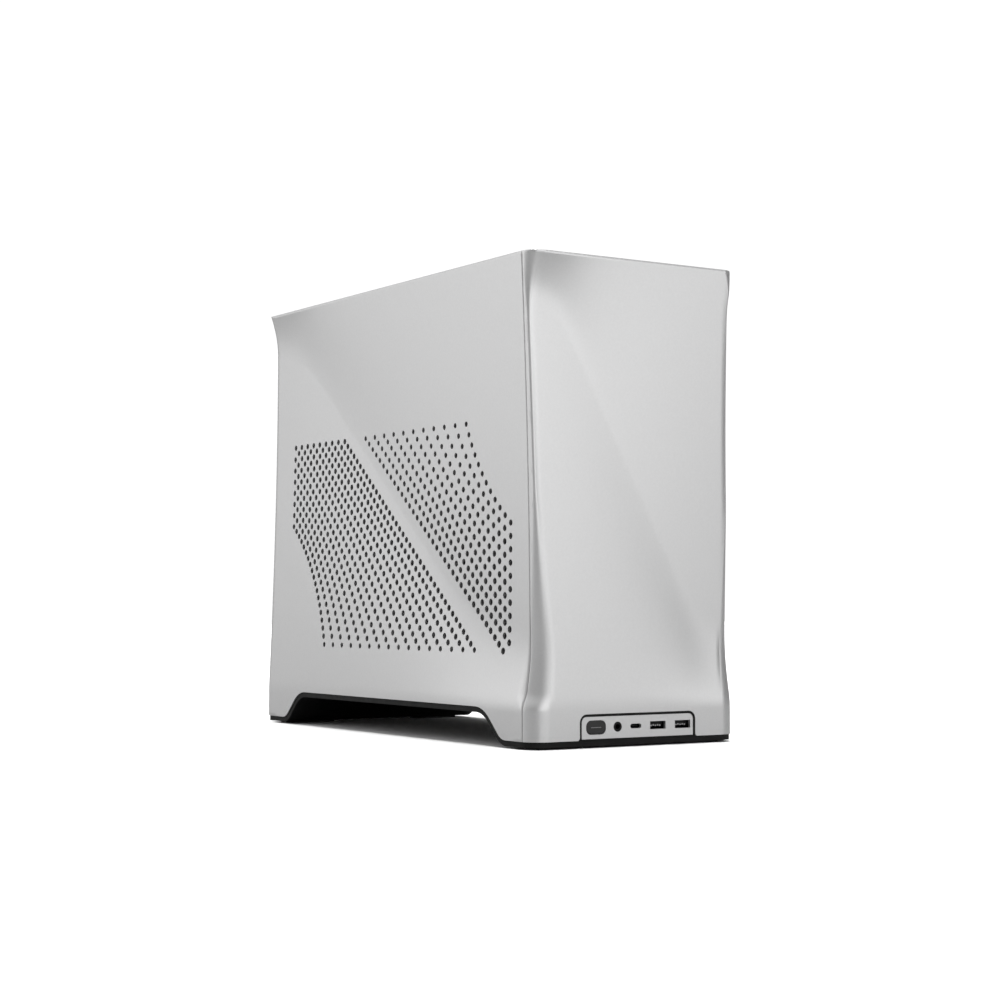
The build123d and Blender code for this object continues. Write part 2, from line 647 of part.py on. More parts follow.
save(power_button, "power_button")

with BuildPart() as power_switch:
    with BuildSketch(Plane.XZ.offset(-SWITCH_Y)):
        with Locations((BUTTON_X, PORT_Z)):
            Rectangle(6.0, 5.7)
            Circle(1.9, mode=Mode.SUBTRACT)
    extrude(amount=-3.4)
    with BuildSketch(Plane.XZ.offset(-SWITCH_Y - 2.6)):
        with Locations((BUTTON_X, PORT_Z)):
            Circle(2.2)
    extrude(amount=-0.8)
save(power_switch, "power_switch")

with BuildPart() as port_board:
    with BuildSketch(Plane.XY.offset(BOARD_TOP - PCB)):
        with Locations((0, -177.4)):
            Rectangle(88.0, 17.0, align=(Align.CENTER, Align.MIN))
    extrude(amount=PCB)
save(port_board, "port_board")

with BuildPart() as audio_jack:
    with BuildSketch(Plane.XZ.offset(-PLATE_FRONT)):
        with Locations((JACK_X, PORT_Z)):
            Circle(JACK_NOSE_R)
    extrude(amount=-(PORT_FACE - PLATE_FRONT))
    with BuildSketch(Plane.XZ.offset(-PORT_FACE)):
        with Locations((JACK_X, PORT_Z)):
            Rectangle(7.0, 2 * (PORT_Z - BOARD_TOP))
    extrude(amount=-JACK_LENGTH)
    with BuildSketch(Plane.XZ.offset(-PLATE_FRONT)):
        with Locations((JACK_X, PORT_Z)):
            Circle(JACK_BORE_R)
    extrude(amount=-JACK_LENGTH, mode=Mode.SUBTRACT)
save(audio_jack, "audio_jack")

with BuildPart() as usb_c_port:
    with BuildSketch(Plane.XZ.offset(-PORT_FACE)):
        with Locations((USB_C_X, PORT_Z)):
            SlotOverall(9.3, 3.6)
            SlotOverall(8.5, 2.9, mode=Mode.SUBTRACT)
    extrude(amount=-7.5)
    with BuildSketch(Plane.XZ.offset(-PORT_FACE - 6.7)):
        with Locations((USB_C_X, PORT_Z)):
            SlotOverall(9.0, 3.3)
    extrude(amount=-0.8)
    with BuildSketch(Plane.XZ.offset(-PORT_FACE - 0.8)):
        with Locations((USB_C_X, PORT_Z)):
            Rectangle(6.7, 0.7)
    extrude(amount=-6.0)
    with BuildSketch(Plane.XY.offset(BOARD_TOP)):
        with Locations((USB_C_X, PORT_FACE + 4.5)):
            Rectangle(7.0, 5.0)
    extrude(amount=PORT_Z - 1.6 - BOARD_TOP)
save(usb_c_port, "usb_c_port")

usb_a_places = [(x, PORT_Z) for x in USB_A_X]
with BuildPart() as usb_a_ports:
    with BuildSketch(Plane.XZ.offset(-PORT_FACE)):
        with Locations(*usb_a_places):
            Rectangle(13.1, 2 * USB_HALF_Z)
            Rectangle(12.5, 2 * USB_HALF_Z - 0.6, mode=Mode.SUBTRACT)
    extrude(amount=-14.0)
    with BuildSketch(Plane.XZ.offset(-PORT_FACE - 13.0)):
        with Locations(*usb_a_places):
            Rectangle(13.1, 2 * USB_HALF_Z)
    extrude(amount=-1.0)
    with BuildSketch(Plane.XZ.offset(-PORT_FACE - 1.0)):
        with Locations(*[(x, PORT_Z + 0.9) for x in USB_A_X]):
            Rectangle(11.1, 1.84)
    extrude(amount=-12.0)
save(usb_a_ports, "usb_a_ports")


# ---------------------------------------------------------------- fans
def fan_frame(plane, size, depth, hub_r):
    """Square fan frame. The plane lies on its back face, with its normal towards the rotor side."""
    bore = size / 2 - 2.0
    with BuildPart() as frame:
        with BuildSketch(plane):
            RectangleRounded(size, size, size / 30)
            Circle(bore, mode=Mode.SUBTRACT)
            with GridLocations(size * 0.875, size * 0.875, 2, 2):
                Circle(size / 55, mode=Mode.SUBTRACT)
        extrude(amount=depth)
        with BuildSketch(plane):
            with PolarLocations(0, 4, 45):
                Rectangle(bore + 1.0, 4.0, align=(Align.MIN, Align.CENTER))
            Circle(hub_r)
            Circle(BEARING_R, mode=Mode.SUBTRACT)
        extrude(amount=2.2)
        with BuildSketch(plane.offset(2.2)):
            Circle(3.2)
            Circle(BEARING_R, mode=Mode.SUBTRACT)
        extrude(amount=depth * 0.4)
    return frame


def fan_rotor(plane, bore, depth, hub_r, blades):
    """Hub cup, shaft and blades that turn about the plane's normal."""
    base = 3.0
    tip = bore - 1.2
    height = depth - base - 1.5
    with BuildPart() as rotor:
        with BuildSketch(plane.offset(base)):
            Circle(hub_r)
        extrude(amount=height)
        with BuildSketch(plane.offset(base)):
            Circle(hub_r - 1.6)
        extrude(amount=depth * 0.4 + 0.6, mode=Mode.SUBTRACT)
        with BuildSketch(plane.offset(0.4)):
            Circle(SHAFT_R)
        extrude(amount=base + height - 1.0)
        chord = height * 1.25
        for i in range(blades):
            angle = 360.0 * i / blades
            spoke = plane * Location((0, 0, base + height / 2), (0, 0, angle))
            root = Plane(spoke * Location((hub_r - 0.8, 0, 0), (0, 90, 0)))
            with BuildSketch(root) as blade_root:
                Rectangle(1.4, chord, rotation=40)
            with BuildSketch(root.offset(tip - hub_r - 1.4)) as blade_tip:
                Rectangle(1.2, chord * 1.05, rotation=28)
            loft([blade_root.sketch, blade_tip.sketch])
    return rotor


for z, level in ((BOTTOM_FAN_Z, "bottom"), (TOP_FAN_Z, "top")):
    mounts = [Plane(origin=(0, y, z)) for y in CASE_FAN_Y]
    with BuildPart() as fan_frames:
        for mount in mounts:
            add(fan_frame(mount, CASE_FAN, CASE_FAN_DEPTH, 21.0).part)
    save(fan_frames, f"{level}_fan_frames")
    for mount, place in zip(mounts, ("front", "rear")):
        save(fan_rotor(mount, CASE_FAN_BORE, CASE_FAN_DEPTH, 20.0, 9), f"{level}_{place}_fan_rotor")

# ---------------------------------------------------------------- motherboard side

with BuildPart() as motherboard:
    with BuildSketch(Plane.YZ.offset(MAIN_X)):
        with Locations(MAIN_MID):
            Rectangle(170.0, 170.0)
        with Locations(*HOLES):
            Circle(2.0, mode=Mode.SUBTRACT)
    extrude(amount=PCB)
    chokes = [(56.0 + 9.0 * i, 236.0) for i in range(8)]
    capacitors = [(56.0 + 9.0 * i, 225.0) for i in range(8)] + [(148.0, 196.0), (148.0, 204.0)]
    with BuildSketch(Plane.YZ.offset(MAIN_FACE)):
        with Locations((150.0, 226.0), (36.0, 98.0)):
            Rectangle(14.0, 14.0)
        with Locations(*chokes):
            Rectangle(7.0, 7.0)
    extrude(amount=4.0)
    with BuildSketch(Plane.YZ.offset(MAIN_FACE)):
        with Locations(*capacitors):
            Circle(3.1)
    extrude(amount=8.0)
save(motherboard, "motherboard")

with BuildPart() as standoffs:
    with BuildSketch(Plane.YZ.offset(SPINE_X + PLATE)):
        with Locations(*HOLES):
            RegularPolygon(3.4, 6)
    extrude(amount=MAIN_X - SPINE_X - PLATE)
save(standoffs, "standoffs")

with BuildPart() as processor_socket:
    with BuildSketch(Plane.YZ.offset(MAIN_FACE)):
        with Locations(CPU):
            RectangleRounded(56.0, 60.0, 3.0)
    extrude(amount=3.0)
    with BuildSketch(Plane.YZ.offset(MAIN_FACE + 3.0)):
        with Locations(CPU):
            RectangleRounded(38.0, 38.0, 1.5)
    extrude(amount=CPU_TOP - MAIN_FACE - 3.0)
save(processor_socket, "processor_socket")

with BuildPart() as cooler_heatsink:
    with BuildSketch(Plane.YZ.offset(CPU_TOP)):
        with Locations(CPU):
            Rectangle(44.0, 44.0)
    extrude(amount=FIN_X[0] - CPU_TOP)
    with BuildSketch(Plane.YZ.offset(FIN_X[0])):
        with Locations(CPU):
            Rectangle(COOLER, COOLER)
    extrude(amount=1.2)
    with BuildSketch(Plane.YZ.offset(FIN_X[0] + 1.2)):
        with Locations(CPU):
            with GridLocations(0, 3.9, 1, 25):
                Rectangle(COOLER, 0.8)
    extrude(amount=FIN_X[1] - FIN_X[0] - 1.2)
save(cooler_heatsink, "cooler_heatsink")

cooler_mount = Plane(origin=(FIN_X[1] + 0.2, *CPU), z_dir=(1, 0, 0))
save(fan_frame(cooler_mount, COOLER_FAN, COOLER_FAN_DEPTH, 17.0), "cooler_fan_frame")
save(fan_rotor(cooler_mount, COOLER_FAN / 2 - 2.0, COOLER_FAN_DEPTH, 16.0, 9), "cooler_fan_rotor")

with BuildPart() as board_slots:
    with BuildSketch(Plane.YZ.offset(MAIN_FACE)):
        with Locations(*[(y, MODULE_Z) for y in MODULE_Y]):
            Rectangle(6.4, 142.0)
            Rectangle(1.5, 134.0, mode=Mode.SUBTRACT)
    extrude(amount=8.0)
    with BuildSketch(Plane.YZ.offset(MAIN_FACE)):
        with Locations((sum(RIBBON_Y) / 2, 84.0)):
            Rectangle(90.0, 7.0)
    extrude(amount=10.9)
save(board_slots, "board_slots")

with BuildPart() as memory_modules:
    for y in MODULE_Y:
        with BuildSketch(Plane.XZ.offset(-(y - 0.65))):
            with Locations((MAIN_FACE + 2.0, MODULE_Z)):
                Rectangle(31.0, 133.35, align=(Align.MIN, Align.CENTER))
        extrude(amount=-1.3)
        with BuildSketch(Plane.XZ.offset(-(y - 1.55))):
            with Locations(*[(MAIN_FACE + 21.0, MODULE_Z - 52.5 + 15.0 * i) for i in range(8)]):
                Rectangle(9.0, 11.0)
        extrude(amount=-0.9)
save(memory_modules, "memory_modules")

with BuildPart() as solid_state_drive:
    with BuildSketch(Plane.YZ.offset(MAIN_FACE + 2.0)):
        with Locations((100.0, DRIVE_Z)):
            Rectangle(80.0, 22.0)
    extrude(amount=1.0)
    with BuildSketch(Plane.YZ.offset(MAIN_FACE + 3.0)):
        with Locations((78.0, DRIVE_Z), (106.0, DRIVE_Z)):
            Rectangle(18.0, 14.0)
    extrude(amount=1.2)
    with BuildSketch(Plane.YZ.offset(MAIN_FACE)):
        with Locations((144.0, DRIVE_Z)):
            Rectangle(8.0, 22.0)
    extrude(amount=4.2)
save(solid_state_drive, "solid_state_drive")

with BuildPart() as rear_ports:
    with BuildSketch(Plane.XY.offset(PORT_BLOCK_Z[0])):
        with Locations((PORT_BLOCK_X[0], PORT_REAR - 0.2)):
            Rectangle(16.0, 19.0, align=(Align.MIN, Align.MAX))
    extrude(amount=96.0)
    for z in USB_STACK_Z:
        with BuildSketch(Plane.XZ.offset(-PORT_REAR + 0.2)):
            with Locations((PORT_BLOCK_X[0] + 8.0, z)):
                Rectangle(5.6, 13.2)
        extrude(amount=10.0, mode=Mode.SUBTRACT)
        with BuildSketch(Plane.XZ.offset(-PORT_REAR + 1.2)):
            with Locations((PORT_BLOCK_X[0] + 8.8, z)):
                Rectangle(1.8, 11.1)
        extrude(amount=9.0)
    with BuildSketch(Plane.XZ.offset(-PORT_REAR + 0.2)):
        with Locations((PORT_BLOCK_X[0], NETWORK_Z)):
            Rectangle(14.0, 16.0, align=(Align.MIN, Align.CENTER))
    extrude(amount=20.0)
    with BuildSketch(Plane.XZ.offset(-PORT_REAR + 0.2)):
        with Locations((PORT_BLOCK_X[0] + 7.0, NETWORK_Z)):
            Rectangle(8.2, 11.8)
    extrude(amount=13.0, mode=Mode.SUBTRACT)
save(rear_ports, "rear_ports")

with BuildPart() as rear_port_shield:
    with BuildSketch(Plane.XZ.offset(-CHASSIS_REAR)):
        with Locations((sum(PORT_BLOCK_X) / 2, sum(PORT_BLOCK_Z) / 2)):
            Rectangle(43.9, 157.9)
        with Locations((PORT_BLOCK_X[0] - 0.3, PORT_BLOCK_Z[0] + 48.0)):
            Rectangle(16.6, 96.6, align=(Align.MIN, Align.CENTER), mode=Mode.SUBTRACT)
        with Locations((PORT_BLOCK_X[0] - 0.3, NETWORK_Z)):
            Rectangle(14.6, 16.6, align=(Align.MIN, Align.CENTER), mode=Mode.SUBTRACT)
        with Locations((44.0, 163.0)):
            with GridLocations(7.0, 7.0, 2, 18):
                Circle(2.2, mode=Mode.SUBTRACT)
    extrude(amount=PLATE)
save(rear_port_shield, "rear_port_shield")

# ---------------------------------------------------------------- graphics side

with BuildPart() as graphics_board:
    with BuildSketch(Plane.YZ.offset(CARD_X - PCB)):
        with Locations(CARD_MID):
            Rectangle(CARD_RUN, CARD_TALL)
        with Locations((sum(RIBBON_Y) / 2, CARD_Z[0] - 4.0)):
            Rectangle(86.0, 8.0)
    extrude(amount=PCB)
    for port in CARD_PORTS:
        with BuildSketch(Plane.XZ.offset(-SHIELD_Y)):
            with Locations(port):
                Rectangle(5.0, 16.2)
        extrude(amount=12.0)
        with BuildSketch(Plane.XZ.offset(-SHIELD_Y)):
            with Locations(port):
                Rectangle(3.8, 14.6)
        extrude(amount=8.0, mode=Mode.SUBTRACT)
save(graphics_board, "graphics_board")

with BuildPart() as graphics_heatsink:
    with BuildSketch(Plane.YZ.offset(CARD_X - PCB)):
        with Locations(CARD_MID):
            Rectangle(CARD_RUN - 6.0, CARD_TALL - 8.0)
    extrude(amount=-3.0)
    with BuildSketch(Plane.YZ.offset(CARD_X - PCB - 3.0)):
        with Locations(CARD_MID):
            with GridLocations(5.3, 0, 51, 1):
                Rectangle(0.9, CARD_TALL - 8.0)
    extrude(amount=SHROUD_X[1] + 0.3 - (CARD_X - PCB - 3.0))
save(graphics_heatsink, "graphics_heatsink")

card_fans = [(y, CARD_FAN_Z) for y in CARD_FAN_Y]
with BuildPart() as graphics_shroud:
    with BuildSketch(Plane.YZ.offset(SHROUD_X[0])):
        with Locations(CARD_MID):
            RectangleRounded(CARD_RUN, CARD_TALL, 8.0)
        with Locations(*card_fans):
            Circle(SHROUD_BORE, mode=Mode.SUBTRACT)
    extrude(amount=SHROUD_X[1] - SHROUD_X[0])
    with BuildSketch(Plane.YZ.offset(SHROUD_X[1])):
        for place in card_fans:
            with Locations(place):
                with PolarLocations(0, 3, 30):
                    Rectangle(SHROUD_BORE + 1.0, 5.0, align=(Align.MIN, Align.CENTER))
                Circle(13.0)
                Circle(BEARING_R, mode=Mode.SUBTRACT)
    extrude(amount=-2.2)
    with BuildSketch(Plane.YZ.offset(SHROUD_X[1] - 2.2)):
        with Locations(*card_fans):
            Circle(3.2)
            Circle(BEARING_R, mode=Mode.SUBTRACT)
    extrude(amount=-4.0)
save(graphics_shroud, "graphics_shroud")

for (y, z), place in zip(card_fans, ("front", "rear")):
    hub = Plane(origin=(SHROUD_X[1], y, z), z_dir=(-1, 0, 0))
    save(fan_rotor(hub, SHROUD_BORE, SHROUD_X[1] - SHROUD_X[0], 13.0, 11), f"graphics_{place}_fan_rotor")

with BuildPart() as graphics_backplate:
    with BuildSketch(Plane.YZ.offset(CARD_X + 0.8)):
        with Locations(CARD_MID):
            RectangleRounded(CARD_RUN - 2.0, CARD_TALL - 2.0, 4.0)
        with Locations((-80.0, CARD_MID[1])):
            with GridLocations(8.0, 0, 4, 1):
                SlotOverall(80.0, 4.0, rotation=90, mode=Mode.SUBTRACT)
    extrude(amount=1.2)
save(graphics_backplate, "graphics_backplate")

with BuildPart() as graphics_bracket:
    with BuildSketch(Plane.XZ.offset(-SHIELD_Y)):
        with Locations((sum(BRACKET_X) / 2, sum(BRACKET_Z) / 2)):
            Rectangle(BRACKET_X[1] - BRACKET_X[0], 118.0)
        with Locations(*CARD_PORTS):
            Rectangle(5.2, 16.4, mode=Mode.SUBTRACT)
        with Locations((-36.0, 152.0)):
            with GridLocations(8.0, 0, 4, 1):
                SlotOverall(96.0, 4.5, rotation=90, mode=Mode.SUBTRACT)
    extrude(amount=1.0)
save(graphics_bracket, "graphics_bracket")

with BuildPart() as riser_ribbon:
    run = RIBBON_Y[1] - RIBBON_Y[0]
    thick = 1.2
    card_x = CARD_X - PCB / 2
    main_x = MAIN_FACE + 16.0
    with BuildSketch(Plane.XZ.offset(-RIBBON_Y[0] - 3.0)):
        with BuildLine():
            FilletPolyline((card_x, 78.0), (card_x, 64.0), (main_x, 64.0), (main_x, 86.0), radius=5.0)
        trace(line_width=thick)
    extrude(amount=-(run - 6.0))
    with BuildSketch(Plane.XY.offset(77.0)):
        with Locations((card_x, sum(RIBBON_Y) / 2)):
            Rectangle(7.0, run - 2.0)
    extrude(amount=12.0)
    with BuildSketch(Plane.XY.offset(85.9)):
        with Locations((card_x, sum(RIBBON_Y) / 2)):
            Rectangle(1.8, 86.4)
    extrude(amount=12.0, mode=Mode.SUBTRACT)
    with BuildSketch(Plane.XY.offset(81.0)):
        with Locations((MAIN_FACE + 11.0, sum(RIBBON_Y) / 2)):
            Rectangle(8.0, run - 2.0, align=(Align.MIN, Align.CENTER))
    extrude(amount=6.0)
save(riser_ribbon, "riser_ribbon")

# ---------------------------------------------------------------- power supply and inlet
with BuildPart() as power_supply_case:
    with Locations(SUPPLY_MID):
        Box(*SUPPLY_SIZE)
        Box(*[size - 2 * SUPPLY_WALL for size in SUPPLY_SIZE], mode=Mode.SUBTRACT)
    with BuildSketch(Plane.YZ.offset(SUPPLY_X[1])):
        with Locations(SUPPLY_MID[1:]):
            Circle(SUPPLY_FAN_R)
    extrude(amount=-SUPPLY_WALL, mode=Mode.SUBTRACT)
    with BuildSketch(Plane.XZ.offset(-SUPPLY_Y[0])):
        with Locations(ROCKER):
            Rectangle(ROCKER_WIDTH + 1.0, 18.4)
        with Locations(SUPPLY_INLET):
            Rectangle(*[size + INLET_CUTOUT for size in INLET_BODY[::-1]])
        with Locations((38.0, 205.0)):
            with GridLocations(7.0, 7.0, 7, 7):
                RegularPolygon(2.9, 6)
    extrude(amount=-SUPPLY_WALL, mode=Mode.SUBTRACT)
save(power_supply_case, "power_supply_case")

with BuildPart() as power_supply_fan_guard:
    with BuildSketch(Plane.YZ.offset(SUPPLY_X[1])):
        with Locations(SUPPLY_MID[1:]):
            for r in range(8, 45, 6):
                Circle(r + GUARD_WIRE)
                Circle(r, mode=Mode.SUBTRACT)
            with PolarLocations(0, 4, 45):
                Rectangle(45.0, GUARD_WIRE, align=(Align.MIN, Align.CENTER))
            Circle(8.0)
    extrude(amount=GUARD_WIRE)
save(power_supply_fan_guard, "power_supply_fan_guard")

supply_fan_x = SUPPLY_X[1] - SUPPLY_WALL - COOLER_FAN_DEPTH
supply_mount = Plane(origin=(supply_fan_x, *SUPPLY_MID[1:]), z_dir=(1, 0, 0))
save(fan_frame(supply_mount, COOLER_FAN, COOLER_FAN_DEPTH, 17.0), "power_supply_fan_frame")
save(fan_rotor(supply_mount, COOLER_FAN / 2 - 2.0, COOLER_FAN_DEPTH, 16.0, 7), "power_supply_fan_rotor")

with BuildPart() as power_rocker:
    tilt = math.radians(ROCKER_TILT)
    pivot = (ROCKER[0], SUPPLY_Y[0] + 1.0, ROCKER[1])
    side_view = Plane(origin=pivot, x_dir=(0, math.cos(tilt), math.sin(tilt)), z_dir=(1, 0, 0))
    with BuildSketch(side_view):
        upper = [(x, -y) for x, y in ROCKER_HALF[-2::-1]]
        Polygon(*ROCKER_HALF, *upper, align=None)
    extrude(amount=ROCKER_WIDTH / 2, both=True)
    with BuildSketch(side_view):
        Circle(ROCKER_PIN_R)
    extrude(amount=ROCKER_WIDTH / 2 + 0.3, both=True)
save(power_rocker, "power_rocker")


def mains_inlet(plane):
    """Three-pin inlet. The plane lies on the panel's outer face, normal outwards, X across the pins."""
    with BuildPart() as inlet:
        with BuildSketch(plane):
            RectangleRounded(50.0, 22.4, 4.0)
            with GridLocations(40.0, 0, 2, 1):
                Circle(1.7, mode=Mode.SUBTRACT)
        extrude(amount=2.0)
        with BuildSketch(plane):
            Rectangle(*INLET_BODY)
        extrude(amount=-20.0)
        with BuildSketch(plane.offset(2.0)) as mouth:
            Rectangle(24.4, 16.8)
            chamfer(mouth.vertices().group_by(Axis.Y)[-1], 3.0)
        extrude(amount=-17.0, mode=Mode.SUBTRACT)
        with BuildSketch(plane.offset(-15.0)):
            with Locations((-7.0, -2.0), (7.0, -2.0), (0.0, 4.0)):
                Rectangle(2.0, 4.0)
        extrude(amount=14.0)
    return inlet


rear_face = Plane(origin=(INLET[0], CHASSIS_REAR, INLET[1]), x_dir=(-1, 0, 0), z_dir=(0, 1, 0))
supply_spot = (SUPPLY_INLET[0], SUPPLY_Y[0], SUPPLY_INLET[1])
supply_face = Plane(origin=supply_spot, x_dir=(0, 0, 1), z_dir=(0, -1, 0))
with BuildPart() as mains_inlets:
    for face in (rear_face, supply_face):
        add(mains_inlet(face).part)
save(mains_inlets, "mains_inlets")


def screw(plane, head_r, head, length):
    """Cross-head machine screw. The plane lies under the head, normal towards the head."""
    with BuildPart() as one:
        with BuildSketch(plane):
            Circle(head_r)
        extrude(amount=head)
        with BuildSketch(plane.offset(head)):
            Rectangle(head_r * 1.2, 0.9)
            Rectangle(0.9, head_r * 1.2)
        extrude(amount=-head / 2, mode=Mode.SUBTRACT)
        with BuildSketch(plane):
            Circle(1.5)
        extrude(amount=-length)
    return one.part


with BuildPart() as machine_screws:
    for y, z in HOLES:
        add(screw(Plane(origin=(MAIN_FACE, y, z), z_dir=(1, 0, 0)), 3.0, 1.8, PCB))
    for x, z in SCREWS:
        add(screw(Plane(origin=(x, CHASSIS_REAR, z), z_dir=(0, 1, 0)), 3.5, 2.0, 7.0))
save(machine_screws, "machine_screws")
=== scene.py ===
"""Looks of the small-form-factor tower PC: perforated aluminium shell, finishes, camera and light."""

import json
import math

import bmesh
import bpy
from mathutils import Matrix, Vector
from mathutils.geometry import delaunay_2d_cdt
from mathutils.kdtree import KDTree


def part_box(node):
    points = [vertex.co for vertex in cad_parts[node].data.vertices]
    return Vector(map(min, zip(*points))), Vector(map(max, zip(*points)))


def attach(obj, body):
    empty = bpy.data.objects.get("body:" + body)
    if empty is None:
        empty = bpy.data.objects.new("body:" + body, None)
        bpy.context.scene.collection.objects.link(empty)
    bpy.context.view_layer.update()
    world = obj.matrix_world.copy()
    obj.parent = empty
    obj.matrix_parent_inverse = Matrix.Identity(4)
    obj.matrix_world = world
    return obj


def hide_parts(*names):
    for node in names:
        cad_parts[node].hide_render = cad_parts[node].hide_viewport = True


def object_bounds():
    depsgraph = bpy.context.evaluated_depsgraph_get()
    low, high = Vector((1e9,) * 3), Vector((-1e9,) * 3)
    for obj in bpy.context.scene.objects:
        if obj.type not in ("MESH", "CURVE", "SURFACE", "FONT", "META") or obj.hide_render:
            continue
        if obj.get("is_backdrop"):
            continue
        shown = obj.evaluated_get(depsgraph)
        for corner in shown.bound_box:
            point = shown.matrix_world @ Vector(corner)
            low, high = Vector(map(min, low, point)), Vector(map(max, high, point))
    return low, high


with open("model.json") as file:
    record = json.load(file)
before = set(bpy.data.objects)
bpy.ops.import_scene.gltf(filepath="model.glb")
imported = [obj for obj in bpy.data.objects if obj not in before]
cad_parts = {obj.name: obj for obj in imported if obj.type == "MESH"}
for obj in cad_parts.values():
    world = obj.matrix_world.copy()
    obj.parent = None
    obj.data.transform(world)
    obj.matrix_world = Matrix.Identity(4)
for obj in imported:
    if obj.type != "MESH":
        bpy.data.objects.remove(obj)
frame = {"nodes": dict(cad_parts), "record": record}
box_at_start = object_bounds()

MM = 0.001

# ---------------------------------------------------------------- shell form, in millimetres
HALF_W = 82.5
FRONT = -183.0
REAR = 183.0
HEIGHT = 314.0
SHEET = 2.5
SHELL_BOTTOM = 5.0
SKIRT_TOP = 28.0
CREASE_DEPTH = 6.6
CREASE_BLEND = 0.5
STEEP_LOW = 50.0  # shortest run of the facet under the crease
STEEP_HIGH = 35.0  # shortest run of the facet over the crease
LOW_BLEND = 12.0  # how gradually those shortest runs take over
HIGH_BLEND = 10.0
SIDE_CREASE_Y = (-167.0, REAR)
FRONT_CREASE_X = (80.0, -78.0)
EDGE_RADIUS = 1.8
FOOT_RADIUS = 14.0  # front corners at the skirt
RIM_RADIUS = 10.5  # and at the top edge
RIM_FADE = {-1: 46.0, 1: 18.0}  # height over which the top rounding dies out, left and right corner
FOOT_FADE = {-1: 137.0, 1: 130.0}  # the same for the foot's rounding, left and right corner
FOLD = {-1: math.radians(22), 1: 0.0}  # angle left between a corner and the front face low down
SEAM = -172.0
SEAM_HALF_GAP = 0.14
EDGE_BREAK = 0.25  # small chamfer round each panel
SKIRT_EASE = 5.0  # the bend above the skirt is eased over this height each way
ARCH_MID = 3.3
ARCH_HALF_LOW = 151.2
ARCH_HALF_TOP = 129.8
ARCH_TOP = 24.9
ARCH_RADIUS = 25.0
ARCH_FOOT_RADIUS = 12.0
ARCH_SLOPE = math.atan2(ARCH_TOP - SHELL_BOTTOM, ARCH_HALF_LOW - ARCH_HALF_TOP)
ARCH_END = ARCH_HALF_LOW + ARCH_FOOT_RADIUS * math.tan(ARCH_SLOPE / 2)
NOTCH_HALF = 46.0
NOTCH_TOP = 21.5
NOTCH_RADIUS = 5.3
NOTCH_FOOT = 1.8
HOLE_SIDES = 18
REAR_ROWS = 16  # rows of vents behind the crease
REAR_PITCH = (6.23, 5.96, 2.26)  # hole pitch along the first row, the last, and its swell between them
FRONT_ROWS = 11  # rows of vents in front of it
FRONT_RISE = (4.19, 6.31, -0.37)  # the same, but as height from hole to hole
SOCKET_WIDTH = 13.1  # one USB-A shell
CONTACTS = 5  # teeth in each USB-A socket
CONTACT_PITCH = 1.75
FLAT_U = 70.0  # the front's flat face covers |u| up to here, its corners the rest
FULL_U = 100.0
FLAT_HALF = HALF_W - FOOT_RADIUS  # flat face each side of the middle, down at the skirt
U_OF_X = FLAT_U / FLAT_HALF
BOSS_RADIUS = 5.0
BOSS_EDGE = 0.4
SIDE_BOSS_X = 73.0
FRONT_BOSS_Y = -173.0
SIDE_BOSSES = ((-162.0, 60.0), (-162.0, 280.0), (171.0, 60.0), (171.0, 280.0))
FRONT_BOSSES = ((-60.0, 45.0), (60.0, 45.0), (-60.0, 285.0), (60.0, 285.0))


def facet(t, bulge):
    """Rise of one facet from its outer edge, t = 0, to the crease, t = 1."""
    t = min(max(t, 0.0), 1.0)
    return CREASE_DEPTH * t * (1 + bulge * (1 - t))


def eased(z):
    """Height with the bend at the top of the skirt rounded off."""
    over = z - SKIRT_TOP
    if over <= -SKIRT_EASE:
        return SKIRT_TOP
    if over < SKIRT_EASE:
        return SKIRT_TOP + (over + SKIRT_EASE) ** 2 / (4 * SKIRT_EASE)
    return z


def soft_max(a, b, blend):
    return blend * math.log(math.exp(a / blend) + math.exp(b / blend))


def sink(along, z):
    """Inward depth of a panel. along runs from 0 at the crease's low end to 1 at its high end."""
    z = eased(z)
    if z <= SKIRT_TOP or z >= HEIGHT:
        return 0.0
    crease = SKIRT_TOP + (HEIGHT - SKIRT_TOP) * min(max(along, 0.0), 1.0)
    bulge = 0.35 + 0.65 * (2 * along - 1) ** 2
    low = facet((z - SKIRT_TOP) / soft_max(crease - SKIRT_TOP, STEEP_LOW, LOW_BLEND), bulge)
    high = facet((HEIGHT - z) / soft_max(HEIGHT - crease, STEEP_HIGH, HIGH_BLEND), bulge)
    soft = -CREASE_BLEND * math.log(math.exp(-low / CREASE_BLEND) + math.exp(-high / CREASE_BLEND))
    return max(0.0, soft)


def side_depth(side, y, z):
    low, high = SIDE_CREASE_Y
    return sink((-side * y - low) / (high - low), z)


def front_depth(x, z):
    low, high = FRONT_CREASE_X
    return sink((x - low) / (high - low), z)


def corner(side, z):
    """Arc of a front corner in plan: centre, radius and the fold angle where it meets the front face."""
    low = max(0.0, min(1.0, 1.0 - (eased(z) - SKIRT_TOP) / FOOT_FADE[side]))
    high = max(0.0, 1.0 - (HEIGHT - z) / RIM_FADE[side])
    reach = EDGE_RADIUS + (FOOT_RADIUS - EDGE_RADIUS) * low**1.25 + (RIM_RADIUS - EDGE_RADIUS) * high**1.6
    over = min(max((z - SKIRT_TOP + 4.0) / 12.0, 0.0), 1.0)  # the fold sets in just above the skirt
    fold = FOLD[side] * low * over * over * (3 - 2 * over)
    r = reach / (1 - math.sin(fold))
    x = HALF_W - side_depth(side, FRONT + reach, z)
    y = FRONT + front_depth(side * (HALF_W - reach), z)
    return side * (x - r), y + r * math.cos(fold), r, fold


def fold_x(side, z):
    """Where a corner meets the front face."""
    xc, _, r, fold = corner(side, z)
    return xc + side * r * math.sin(fold)


